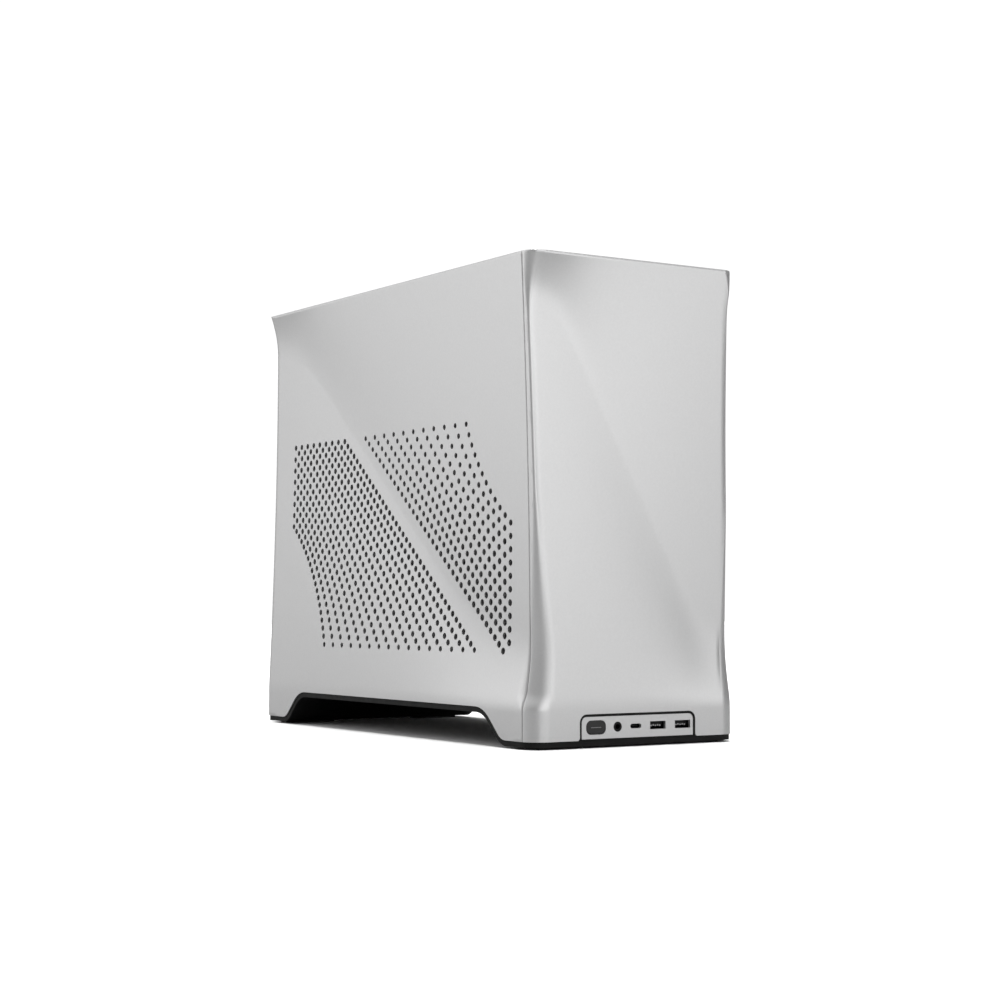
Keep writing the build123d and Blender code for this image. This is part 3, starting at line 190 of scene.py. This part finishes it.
def side_x(side, y, z):
    """Outer face of a side panel, with the front corner's rounding."""
    x = side * (HALF_W - side_depth(side, y, z))
    _, yc, r, _ = corner(side, z)
    if y < yc:
        x -= side * (r - math.sqrt(max(r * r - (yc - y) ** 2, 0.0)))
    return x


def edge_break(distance):
    """How far the face drops on the chamfer that runs along a panel's edge."""
    return max(0.0, EDGE_BREAK - distance) * 0.8


# ---------------------------------------------------------------- sheets with real holes
def side_surface(side):
    """Function from (y, z) and an inset to a point of a side panel."""
    first = SEAM + SEAM_HALF_GAP

    def point(y, z, inset):
        if inset == 0.0:
            inset = edge_break(min(y - first, REAR - y, HEIGHT - z))
        return Vector((side_x(side, y, z) - side * inset, y, z))

    return point


def front_surface(u, z, inset):
    """Point of the front panel. u runs across it, corners included."""
    side = -1 if u < 0 else 1
    xc, yc, r, fold = corner(side, z)
    if inset == 0.0:
        inset = edge_break(min(HEIGHT - z, (FULL_U - abs(u)) * 0.7))
    if abs(u) <= FLAT_U:
        left = fold_x(-1, z)
        x = left + (fold_x(1, z) - left) * (u + FLAT_U) / (2 * FLAT_U)
        return Vector((x, FRONT + front_depth(x, z) + inset, z))
    seam = SEAM - SEAM_HALF_GAP
    r_in = r - inset
    start = math.asin(min(max((yc - seam) / r_in, 0.0), 1.0))
    turn = math.pi / 2 - fold - start
    straight = max(0.0, seam - yc)
    run = (abs(u) - FLAT_U) / (FULL_U - FLAT_U) * (r * turn + straight)
    if run <= r * turn:
        a = math.pi / 2 - fold - run / r
        return Vector((xc + side * r_in * math.cos(a), yc - r_in * math.sin(a), z))
    y = yc + run - r * turn
    return Vector((side_x(side, y, z) - side * inset, y, z))


def normal_at(point, a, b):
    """Unit normal of the outer face by central differences."""
    h = 0.12
    across = point(a + h, b, 0.0) - point(a - h, b, 0.0)
    up = point(a, b + h, 0.0) - point(a, b - h, 0.0)
    return across.cross(up).normalized()


def circle_2d(a, b, radius):
    turns = [2 * math.pi / HOLE_SIDES * i for i in range(HOLE_SIDES)]
    return [(a + radius * math.cos(t), b + radius * math.sin(t)) for t in turns]


def add_object(name, mesh):
    obj = bpy.data.objects.new(name, mesh)
    bpy.context.scene.collection.objects.link(obj)
    return obj


def perforated_sheet(name, point, loops, holes, grid, inside, flip):
    """Sheet with thickness over the (a, b) plane. holes are (a, b, radius); inside is true on the sheet."""
    coords, edges = [], []
    tree = KDTree(max(len(holes), 1))
    for i, (a, b, _) in enumerate(holes):
        tree.insert((a, b, 0.0), i)
    tree.balance()
    for loop in loops + [circle_2d(*hole) for hole in holes]:
        base = len(coords)
        coords += loop
        edges += [(base + i, base + (i + 1) % len(loop)) for i in range(len(loop))]

    def in_hole(a, b, margin):
        if not holes:
            return False
        _, index, gap = tree.find((a, b, 0.0))
        return gap < holes[index][2] + margin

    def toward_hole(spot):
        """Way from a hole's rim to its middle, or None away from the holes."""
        if not in_hole(spot.x, spot.y, 0.05):
            return None
        _, index, _ = tree.find((spot.x, spot.y, 0.0))
        a, b, _ = holes[index]
        way = Vector((a - spot.x, b - spot.y)).normalized() * 0.01
        return (point(spot.x + way.x, spot.y + way.y, SHEET) - point(spot.x, spot.y, SHEET)).normalized()

    coords += [(a, b) for a, b in grid if inside(a, b) and not in_hole(a, b, 0.6)]
    flat, _, faces, _, _, _ = delaunay_2d_cdt([Vector(c) for c in coords], edges, [], 0, 1e-5)
    kept = []
    for face in faces:
        a = sum(flat[i].x for i in face) / len(face)
        b = sum(flat[i].y for i in face) / len(face)
        if inside(a, b) and not in_hole(a, b, 0.0):
            kept.append(tuple(face))
    used = sorted({i for face in kept for i in face})
    number = {i: n for n, i in enumerate(used)}
    kept = [tuple(number[i] for i in face) for face in kept]
    flat = [flat[i] for i in used]
    count = len(flat)
    outer = [point(p.x, p.y, 0.0) for p in flat]
    inner = [point(p.x, p.y, SHEET) for p in flat]
    turn = -1.0 if flip else 1.0
    normals = [normal_at(point, p.x, p.y) * turn for p in flat]
    verts = outer + inner
    polygons, loop_normals = [], []
    directed = set()
    for face in kept:
        directed.update(zip(face, face[1:] + face[:1]))
        front = face[::-1] if flip else face
        back = tuple(i + count for i in front[::-1])
        polygons += [front, back]
        loop_normals += [normals[i] for i in front] + [-normals[i - count] for i in back]
    for i, j in directed:
        if (j, i) in directed:
            continue
        quad = (i, j, j + count, i + count) if flip else (j, i, i + count, j + count)
        polygons.append(quad)
        wall = (verts[quad[1]] - verts[quad[0]]).cross(verts[quad[3]] - verts[quad[0]]).normalized()
        for k in quad:
            loop_normals.append(toward_hole(flat[k % count]) or wall)
    mesh = bpy.data.meshes.new(name)
    mesh.from_pydata([v * MM for v in verts], [], polygons)
    mesh.polygons.foreach_set("use_smooth", [True] * len(mesh.polygons))
    mesh.normals_split_custom_set(loop_normals)
    return add_object(name, mesh)


def tube_mesh(name, origin, axis, length, profile, sides=32):
    """Turned solid. profile is (radius, share of the length) from one end to the other."""
    axis = Vector(axis).normalized()
    across = axis.orthogonal().normalized()
    over = axis.cross(across)
    verts, faces = [], []
    for radius, along in profile:
        for i in range(sides):
            a = 2 * math.pi * i / sides
            rim = (across * math.cos(a) + over * math.sin(a)) * radius
            verts.append((Vector(origin) + axis * along * length + rim) * MM)
    for ring in range(len(profile) - 1):
        for i in range(sides):
            j = (i + 1) % sides
            low, high = ring * sides, (ring + 1) * sides
            faces.append((low + i, low + j, high + j, high + i))
    faces.append(tuple(range(sides))[::-1])
    faces.append(tuple((len(profile) - 1) * sides + i for i in range(sides)))
    mesh = bpy.data.meshes.new(name)
    mesh.from_pydata(verts, [], faces)
    mesh.polygons.foreach_set("use_smooth", [True] * len(mesh.polygons))
    mesh.set_sharp_from_angle(angle=math.radians(35))
    return add_object(name, mesh)


def arch_height(y):
    """Height of the shell's lower edge at y: arch top, rounded shoulder, slope and rounded foot."""
    y = abs(y - ARCH_MID)
    shoulder = ARCH_HALF_TOP - ARCH_RADIUS * math.tan(ARCH_SLOPE / 2)
    if y <= shoulder:
        return ARCH_TOP
    if y <= shoulder + ARCH_RADIUS * math.sin(ARCH_SLOPE):
        return ARCH_TOP - ARCH_RADIUS + math.sqrt(ARCH_RADIUS**2 - (y - shoulder) ** 2)
    if y >= ARCH_END:
        return SHELL_BOTTOM
    if y >= ARCH_END - ARCH_FOOT_RADIUS * math.sin(ARCH_SLOPE):
        return SHELL_BOTTOM + ARCH_FOOT_RADIUS - math.sqrt(ARCH_FOOT_RADIUS**2 - (ARCH_END - y) ** 2)
    return ARCH_TOP - (y - ARCH_HALF_TOP) * math.tan(ARCH_SLOPE)


def spread(low, high, step):
    count = max(1, round((high - low) / step))
    return [low + (high - low) * i / count for i in range(count + 1)]


def vent_holes():
    """Centres and radii of the vent pattern on the left panel: curved rows in two zones."""

    def row(start, bend, end, count):
        for i in range(count + 1):
            t = i / count
            s, b, e = (1 - t) ** 2, 2 * t * (1 - t), t * t
            yield tuple(s * p + b * q + e * r for p, q, r in zip(start, bend, end))

    def steps(size, pitch, share):
        first, last, swell = pitch
        return round(size / (first + (last - first) * share + swell * share * (1 - share)))

    holes = []
    for k in range(REAR_ROWS):
        start = (72.8 + 9.67 * k, 209.5) if k <= 8 else (150.5, 209.0 - 8.5 * (k - 8))
        end = (-108.4 + 13.55 * k, 61.0)
        share = k / (REAR_ROWS - 1)
        bend = ((start[0] + end[0]) / 2 - 14.5 * k / 15, (start[1] + end[1]) / 2 + 11 * k / 15)
        count = steps(math.dist(start, end), REAR_PITCH, share)
        for y, z in row(start, bend, end, count):
            radius = 1.9 if z < 62 else 2.12
            holes.append((y, z, radius))
    for k in range(FRONT_ROWS):
        start = (41.1 - 14.05 * k, 209.5)
        end = (-142.0, 61.0) if k == 0 else (-148.2 - 0.28 * k, 142.9 - 8.5 * (10 - k))
        share = k / (FRONT_ROWS - 1)
        weight = share**0.7
        bend = ((start[0] + end[0]) / 2 + 10 * weight, (start[1] + end[1]) / 2 - 7 * weight)
        count = steps(start[1] - end[1], FRONT_RISE, share)
        for y, z in row(start, bend, end, count):
            grow = min(max((209.5 - z) / 148.5, 0.0), 1.0)
            holes.append((y, z, 1.82 + 0.5 * grow))
    return holes


def crease_points(values, low, high, depth):
    """Extra points along the crease so that it stays crisp."""
    out = []
    for a in values:
        levels = spread(low, high, 2.0)
        best = max(levels, key=lambda z: depth(a, z))
        out += [(a, best + shift) for shift in (-2.2, -1.1, 0.0, 1.1, 2.2) if low < best + shift < high]
    return out


def side_panel(side):
    first = SEAM + SEAM_HALF_GAP
    turn = -side  # the right panel is the left one turned half round
    point = side_surface(side)
    foot = spread(ARCH_MID - ARCH_END, ARCH_MID + ARCH_END, 1.2)
    loop = [(first, z) for z in spread(SHELL_BOTTOM, HEIGHT, 3.0)]
    loop += [(y, HEIGHT) for y in spread(first, REAR, 3.0)[1:]]
    loop += [(REAR, z) for z in spread(SHELL_BOTTOM, HEIGHT, 3.0)[::-1][1:]]
    loop += [(y, arch_height(y)) for y in foot[::-1]]
    ys = [first + EDGE_BREAK, first + 1.5, first + 3.0, first + 5.0, first + 8.0, REAR - EDGE_BREAK]
    ys += spread(first + 11.0, REAR - 3.0, 3.6)
    zs = spread(8.0, 20.0, 4.0) + spread(22.0, 35.0, 1.6) + spread(38.0, HEIGHT - 2.0, 3.6)
    zs.append(HEIGHT - EDGE_BREAK)
    grid = [(y, z) for y in ys for z in zs]
    grid += crease_points(ys, SKIRT_TOP + 3, HEIGHT - 1.5, lambda y, z: side_depth(side, y, z))

    def inside(y, z):
        if not (first < y < REAR and SHELL_BOTTOM < z < HEIGHT):
            return False
        return z > arch_height(y) + 0.02

    holes = [(turn * y, z, r) for y, z, r in vent_holes()]
    name = "left_shell_sheet" if side < 0 else "right_shell_sheet"
    return perforated_sheet(name, point, [loop], holes, grid, inside, flip=side < 0)


def front_panel_sheet():
    loop = [(-FULL_U, z) for z in spread(SHELL_BOTTOM, HEIGHT, 3.0)]
    loop += [(u, HEIGHT) for u in spread(-FULL_U, FULL_U, 2.0)[1:]]
    loop += [(FULL_U, z) for z in spread(SHELL_BOTTOM, HEIGHT, 3.0)[::-1][1:]]
    outline = [(NOTCH_HALF + NOTCH_FOOT, SHELL_BOTTOM)]
    for i in range(1, 7):
        a = math.pi / 2 * i / 6
        x = NOTCH_HALF + NOTCH_FOOT * (1 - math.sin(a))
        outline.append((x, SHELL_BOTTOM + NOTCH_FOOT * (1 - math.cos(a))))
    for i in range(13):
        a = math.pi / 2 * i / 12
        x = NOTCH_HALF - NOTCH_RADIUS * (1 - math.cos(a))
        outline.append((x, NOTCH_TOP - NOTCH_RADIUS * (1 - math.sin(a))))
    notch = [(x * U_OF_X, z) for x, z in outline]
    notch += [(-u, z) for u, z in notch[::-1]]
    reach = (NOTCH_HALF + NOTCH_FOOT) * U_OF_X
    loop += [(u, SHELL_BOTTOM) for u in spread(reach, FULL_U, 2.0)[::-1][1:-1]]
    loop += notch
    loop += [(u, SHELL_BOTTOM) for u in spread(-FULL_U, -reach, 2.0)[::-1][1:-1]]
    us = spread(-FLAT_U, FLAT_U, 3.5)
    us += [side * u for side in (-1, 1) for u in spread(FLAT_U + 0.5, FULL_U - 0.8, 1.2)]
    us += [side * (FULL_U - 0.5) for side in (-1, 1)]
    zs = spread(7.0, 20.0, 3.0) + spread(22.0, 35.0, 1.6) + spread(38.0, HEIGHT - 2.0, 3.6)
    zs.append(HEIGHT - EDGE_BREAK)
    grid = [(u, z) for u in us for z in zs]

    def depth(u, z):
        return front_surface(u, z, 0.0).y

    grid += crease_points(spread(-FLAT_U, FLAT_U, 3.5), SKIRT_TOP + 3, HEIGHT - 1.5, depth)

    def inside(u, z):
        if not (abs(u) < FULL_U and SHELL_BOTTOM < z < HEIGHT):
            return False
        x = abs(u) / U_OF_X
        if z >= NOTCH_TOP or x >= NOTCH_HALF + NOTCH_FOOT:
            return True
        rise = z - (NOTCH_TOP - NOTCH_RADIUS)
        if rise > 0:
            inner = NOTCH_HALF - NOTCH_RADIUS
            return x > inner and math.hypot(x - inner, rise) > NOTCH_RADIUS * 0.999
        drop = SHELL_BOTTOM + NOTCH_FOOT - z
        if drop > 0:
            return math.hypot(NOTCH_HALF + NOTCH_FOOT - x, drop) < NOTCH_FOOT * 1.001
        return x > NOTCH_HALF

    return perforated_sheet("front_shell_sheet", front_surface, [loop], [], grid, inside, flip=False)


# ---------------------------------------------------------------- materials
class Nodes:
    """A few helpers over one material's node tree."""

    def __init__(self, name):
        self.material = bpy.data.materials.new(name)
        self.material.use_nodes = True
        self.tree = self.material.node_tree
        self.shader = self.tree.nodes["Principled BSDF"]
        coord = self.tree.nodes.new("ShaderNodeTexCoord")
        self.place = coord.outputs["Object"]

    def add(self, kind, **inputs):
        node = self.tree.nodes.new(kind)
        for key, value in inputs.items():
            socket = node.inputs[key.replace("_", " ")]
            if isinstance(value, bpy.types.NodeSocket):
                self.tree.links.new(value, socket)
            else:
                socket.default_value = value
        return node

    def noise(self, scale, detail=3.0, place=None):
        node = self.add("ShaderNodeTexNoise", Vector=place or self.place, Scale=scale, Detail=detail)
        return node.outputs["Fac"]

    def ramp(self, factor, low, high):
        """Values between low and high, or colours between two greys or RGB triples."""
        node = self.add("ShaderNodeValToRGB", Fac=factor)
        for element, value in zip(node.color_ramp.elements, (low, high)):
            rgb = value if isinstance(value, tuple) else (value,) * 3
            element.color = (*rgb, 1.0)
        node.color_ramp.elements[0].position = 0.3
        node.color_ramp.elements[1].position = 0.7
        return node.outputs["Color"]

    def set(self, **inputs):
        for key, value in inputs.items():
            socket = self.shader.inputs[key.replace("_", " ")]
            if isinstance(value, bpy.types.NodeSocket):
                self.tree.links.new(value, socket)
            else:
                socket.default_value = value
        return self

    def bump(self, height, strength, distance):
        node = self.add("ShaderNodeBump", Height=height, Strength=strength, Distance=distance)
        self.tree.links.new(node.outputs["Normal"], self.shader.inputs["Normal"])
        return self


def stretched(nodes, scale):
    """Coordinates stretched along one way, for brushed or extruded grain."""
    node = nodes.add("ShaderNodeMapping", Vector=nodes.place)
    node.inputs["Scale"].default_value = scale
    return node.outputs["Vector"]


def anodised_aluminium():
    n = Nodes("anodised_aluminium")
    n.set(Base_Color=n.ramp(n.noise(700.0, 2.0), (0.595, 0.595, 0.597), (0.615, 0.615, 0.616)))
    n.set(Roughness=n.ramp(n.noise(900.0, 2.0), 0.33, 0.38), Metallic=0.8)
    return n.bump(n.noise(5200.0, 1.0), 0.05, 0.0001).material


def moulded_plastic(name, low, high, rough, grain):
    n = Nodes(name)
    n.set(Base_Color=n.ramp(n.noise(60.0), low, high))
    n.set(Roughness=n.ramp(n.noise(300.0), rough, rough + 0.1), Specular_IOR_Level=0.16)
    return n.bump(n.noise(grain, 2.0), 0.18, 0.0002).material


def painted_steel():
    n = Nodes("black_painted_steel")
    n.set(Base_Color=n.ramp(n.noise(50.0), 0.018, 0.028))
    n.set(Roughness=n.ramp(n.noise(200.0), 0.5, 0.62))
    return n.bump(n.noise(1800.0, 3.0), 0.2, 0.0002).material


def plated_steel():
    n = Nodes("plated_steel")
    grain = n.noise(400.0, 3.0, stretched(n, (1.0, 1.0, 14.0)))
    n.set(Base_Color=n.ramp(n.noise(80.0), (0.52, 0.52, 0.53), (0.62, 0.62, 0.63)), Metallic=1.0)
    return n.set(Roughness=n.ramp(grain, 0.26, 0.4)).material


def milled_fins():
    n = Nodes("milled_fins")
    grain = n.noise(600.0, 2.0, stretched(n, (12.0, 1.0, 1.0)))
    n.set(Base_Color=n.ramp(n.noise(90.0), (0.48, 0.48, 0.50), (0.6, 0.6, 0.62)), Metallic=1.0)
    return n.set(Roughness=n.ramp(grain, 0.3, 0.45)).material


def circuit_board():
    n = Nodes("circuit_board")
    traces = n.noise(240.0, 6.0)
    n.set(Base_Color=n.ramp(traces, (0.008, 0.022, 0.016), (0.02, 0.05, 0.034)))
    n.set(Roughness=n.ramp(n.noise(150.0), 0.35, 0.5))
    return n.bump(traces, 0.15, 0.0001).material


def nylon_mesh():
    n = Nodes("nylon_mesh")
    n.set(Base_Color=n.ramp(n.noise(150.0), 0.02, 0.045), Roughness=n.ramp(n.noise(700.0), 0.6, 0.8))
    return n.bump(n.noise(3000.0), 0.2, 0.0001).material


SLOT_MATERIALS = {
    "shell": anodised_aluminium(),
    "black_plastic": moulded_plastic("black_plastic", 0.005, 0.009, 0.5, 1400.0),
    "rubber": moulded_plastic("black_rubber", 0.010, 0.018, 0.72, 900.0),
    "black_steel": painted_steel(),
    "bright_steel": plated_steel(),
    "fins": milled_fins(),
    "board": circuit_board(),
    "filter_mesh": nylon_mesh(),
}
button_plastic = moulded_plastic("button_plastic", 0.034, 0.044, 0.45, 2200.0)
light_line = moulded_plastic("light_line", 0.20, 0.26, 0.35, 1500.0)
# near-black: the ports' own black plastic, plus painted shade for the dark inside of their steel shells
socket_black_and_painted_shade = moulded_plastic("socket_black_and_painted_shade", 0.006, 0.010, 0.45, 1500.0)
contact_metal = moulded_plastic("contact_metal", 0.42, 0.55, 0.3, 1500.0)


def paint(obj, material):
    obj.data.materials.clear()
    obj.data.materials.append(material)


for part in frame["record"]["subparts"]:
    paint(frame["nodes"][part["node"]], SLOT_MATERIALS[part["material_slot"]])
paint(frame["nodes"]["power_button"], button_plastic)
# painted shade: the ports' steel shells are painted near-black too, standing for the shade inside the
# sockets
for name in ("usb_a_ports", "usb_c_port", "audio_jack"):
    paint(frame["nodes"][name], socket_black_and_painted_shade)

# ---------------------------------------------------------------- shell sheets
def add_boss(name, origin, axis, reach, body):
    """Round boss behind a panel that carries one of its studs."""
    profile = ((BOSS_RADIUS - BOSS_EDGE, 0.0), (BOSS_RADIUS, BOSS_EDGE / reach), (BOSS_RADIUS, 1.0))
    boss = tube_mesh(name, origin, axis, reach, profile)
    paint(boss, SLOT_MATERIALS["shell"])
    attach(boss, body)


for side, name, body in ((-1, "left", "left_panel"), (1, "right", "right_panel")):
    sheet = side_panel(side)
    paint(sheet, SLOT_MATERIALS["shell"])
    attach(sheet, body)
    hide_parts(f"{name}_side_panel")
    for i, (y, z) in enumerate(SIDE_BOSSES):
        reach = HALF_W - side_depth(side, y, z) - SHEET / 2 - SIDE_BOSS_X
        add_boss(f"{name}_boss_{i}", (side * SIDE_BOSS_X, y, z), (side, 0, 0), reach, body)

sheet = front_panel_sheet()
paint(sheet, SLOT_MATERIALS["shell"])
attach(sheet, "front_cover")
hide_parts("front_panel")
for i, (x, z) in enumerate(FRONT_BOSSES):
    reach = FRONT_BOSS_Y - (FRONT + front_depth(x, z) + SHEET / 2)
    add_boss(f"front_boss_{i}", (x, FRONT_BOSS_Y, z), (0, -1, 0), reach, "front_cover")

# ---------------------------------------------------------------- front port details
def rounded_bars(name, bars, depth, bevel):
    """Small boxes with softened edges. bars holds (x, y front, z, width, height) in millimetres."""
    mesh = bpy.data.meshes.new(name)
    soft = bmesh.new()
    for x, y, z, width, height in bars:
        made = bmesh.ops.create_cube(soft, size=1.0)["verts"]
        for vert in made:
            place = (x + vert.co.x * width, y + (vert.co.y + 0.5) * depth, z + vert.co.z * height)
            vert.co = Vector(place) * MM
    bmesh.ops.bevel(soft, geom=soft.edges[:], offset=bevel * MM, segments=2, affect="EDGES", profile=0.5)
    soft.to_mesh(mesh)
    soft.free()
    return add_object(name, mesh)


button_low, button_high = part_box("power_button")
socket_low, socket_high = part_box("usb_a_ports")
port_z = (socket_low.z + socket_high.z) / 2 / MM
contacts = []
for middle in (socket_low.x / MM + SOCKET_WIDTH / 2, socket_high.x / MM - SOCKET_WIDTH / 2):
    for step in range(CONTACTS):
        x = middle + (step - CONTACTS // 2) * CONTACT_PITCH
        contacts.append((x, socket_low.y / MM + 0.35, port_z - 0.35 + 0.25 * (step % 2), 0.85, 0.95))
teeth = rounded_bars("usb_contacts", contacts, 0.6, 0.08)
paint(teeth, contact_metal)
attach(teeth, "chassis")
line_x = (button_low.x + button_high.x) / 2 / MM
line = rounded_bars("button_light_line", [(line_x, button_low.y / MM + 0.1, port_z, 8.0, 0.55)], 0.3, 0.05)
paint(line, light_line)
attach(line, "button")

# ---------------------------------------------------------------- floor, light and camera
ground = bpy.data.meshes.new("ground")
REACH = 6.0
corners = [(-REACH, -REACH, 0), (REACH, -REACH, 0), (REACH, REACH, 0), (-REACH, REACH, 0)]
ground.from_pydata(corners, [], [(0, 1, 2, 3)])
floor = add_object("ground", ground)
floor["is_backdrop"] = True
pale = Nodes("pale_floor")
pale.set(Base_Color=pale.ramp(pale.noise(3.0), 0.79, 0.8), Roughness=pale.ramp(pale.noise(5.0), 0.85, 0.9))
pale.shader.inputs["Specular IOR Level"].default_value = 0.1
# the floor is white to the camera and darker to the light that bounces off it
shade = pale.tree.nodes.new("ShaderNodeMix")
shade.data_type = "RGBA"
path = pale.tree.nodes.new("ShaderNodeLightPath")
pale.tree.links.new(path.outputs["Is Camera Ray"], shade.inputs["Factor"])
pale.tree.links.new(pale.shader.inputs["Base Color"].links[0].from_socket, shade.inputs[7])
shade.inputs[6].default_value = (0.27, 0.27, 0.27, 1.0)
pale.tree.links.new(shade.outputs[2], pale.shader.inputs["Base Color"])
paint(floor, pale.material)

world = bpy.data.worlds.new("studio")
bpy.context.scene.world = world
world.use_nodes = True
tree = world.node_tree


def node(kind, **values):
    made = tree.nodes.new(kind)
    for key, value in values.items():
        setattr(made, key, value)
    return made


def link(source, target):
    tree.links.new(source, target)


direction = node("ShaderNodeTexCoord").outputs["Generated"]


def glow(centre, outer, inner, strength):
    """Patch of studio light round a direction, from nothing at cosine outer to strength at cosine inner."""
    dot = node("ShaderNodeVectorMath", operation="DOT_PRODUCT")
    link(direction, dot.inputs[0])
    dot.inputs[1].default_value = Vector(centre).normalized()
    fade = node("ShaderNodeMapRange", interpolation_type="SMOOTHSTEP")
    link(dot.outputs["Value"], fade.inputs["Value"])
    for name, value in (("From Min", outer), ("From Max", inner), ("To Min", 0.0), ("To Max", strength)):
        fade.inputs[name].default_value = value
    return fade.outputs["Result"]


total = node("ShaderNodeValue").outputs[0]
total.default_value = 0.17
for patch in (
    glow((-0.35, 0.94, 0.22), 0.20, 0.97, 0.56),
    glow((-1.0, 0.1, 0.10), 0.40, 1.0, 0.22),
    glow((0.14, -0.98, 0.18), 0.66, 0.98, 1.38),
    glow((0.0, 0.0, 1.0), 0.40, 1.0, 0.40),
):
    plus = node("ShaderNodeMath", operation="ADD")
    link(total, plus.inputs[0])
    link(patch, plus.inputs[1])
    total = plus.outputs[0]
background = tree.nodes["Background"]
background.inputs["Color"].default_value = (1.0, 1.0, 1.0, 1.0)
link(total, background.inputs["Strength"])
white = node("ShaderNodeBackground")
white.inputs["Color"].default_value = (1.0, 1.0, 1.0, 1.0)
white.inputs["Strength"].default_value = 1.05
mix = node("ShaderNodeMixShader")
link(node("ShaderNodeLightPath").outputs["Is Camera Ray"], mix.inputs[0])
link(background.outputs[0], mix.inputs[1])
link(white.outputs[0], mix.inputs[2])
link(mix.outputs[0], tree.nodes["World Output"].inputs["Surface"])

sun = bpy.data.lights.new("overhead", "SUN")
sun.energy = 4.6
sun.angle = math.radians(26)
add_object("overhead", sun)


def softbox(name, place, aim, size, power):
    light = bpy.data.lights.new(name, "AREA")
    light.shape = "RECTANGLE"
    light.size, light.size_y = size
    light.energy = power
    obj = add_object(name, light)
    obj.location = place
    obj.rotation_euler = (Vector(aim) - Vector(place)).to_track_quat("-Z", "Y").to_euler()


softbox("left_rear", (-1.7, 1.5, 1.0), (0.0, 0.0, 0.2), (1.8, 1.8), 5.0)
softbox("front_right", (1.3, -2.0, 1.0), (0.0, 0.0, 0.2), (1.6, 1.8), 3.0)

camera = bpy.data.cameras.new("camera")
camera.lens = 72.73
camera.sensor_width = 36.0
view = add_object("camera", camera)
view.location = (-0.7784, -1.2296, 0.0930)
view.rotation_euler = (math.radians(90 + 2.86), 0.0, math.radians(-32.73))
bpy.context.scene.camera = view
bpy.context.scene.view_settings.view_transform = "Standard"

box_at_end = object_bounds()
sizes = {"start": [list(c) for c in box_at_start], "end": [list(c) for c in box_at_end]}
{k: [[round(v, 6) for v in c] for c in corners] for k, corners in sizes.items()}
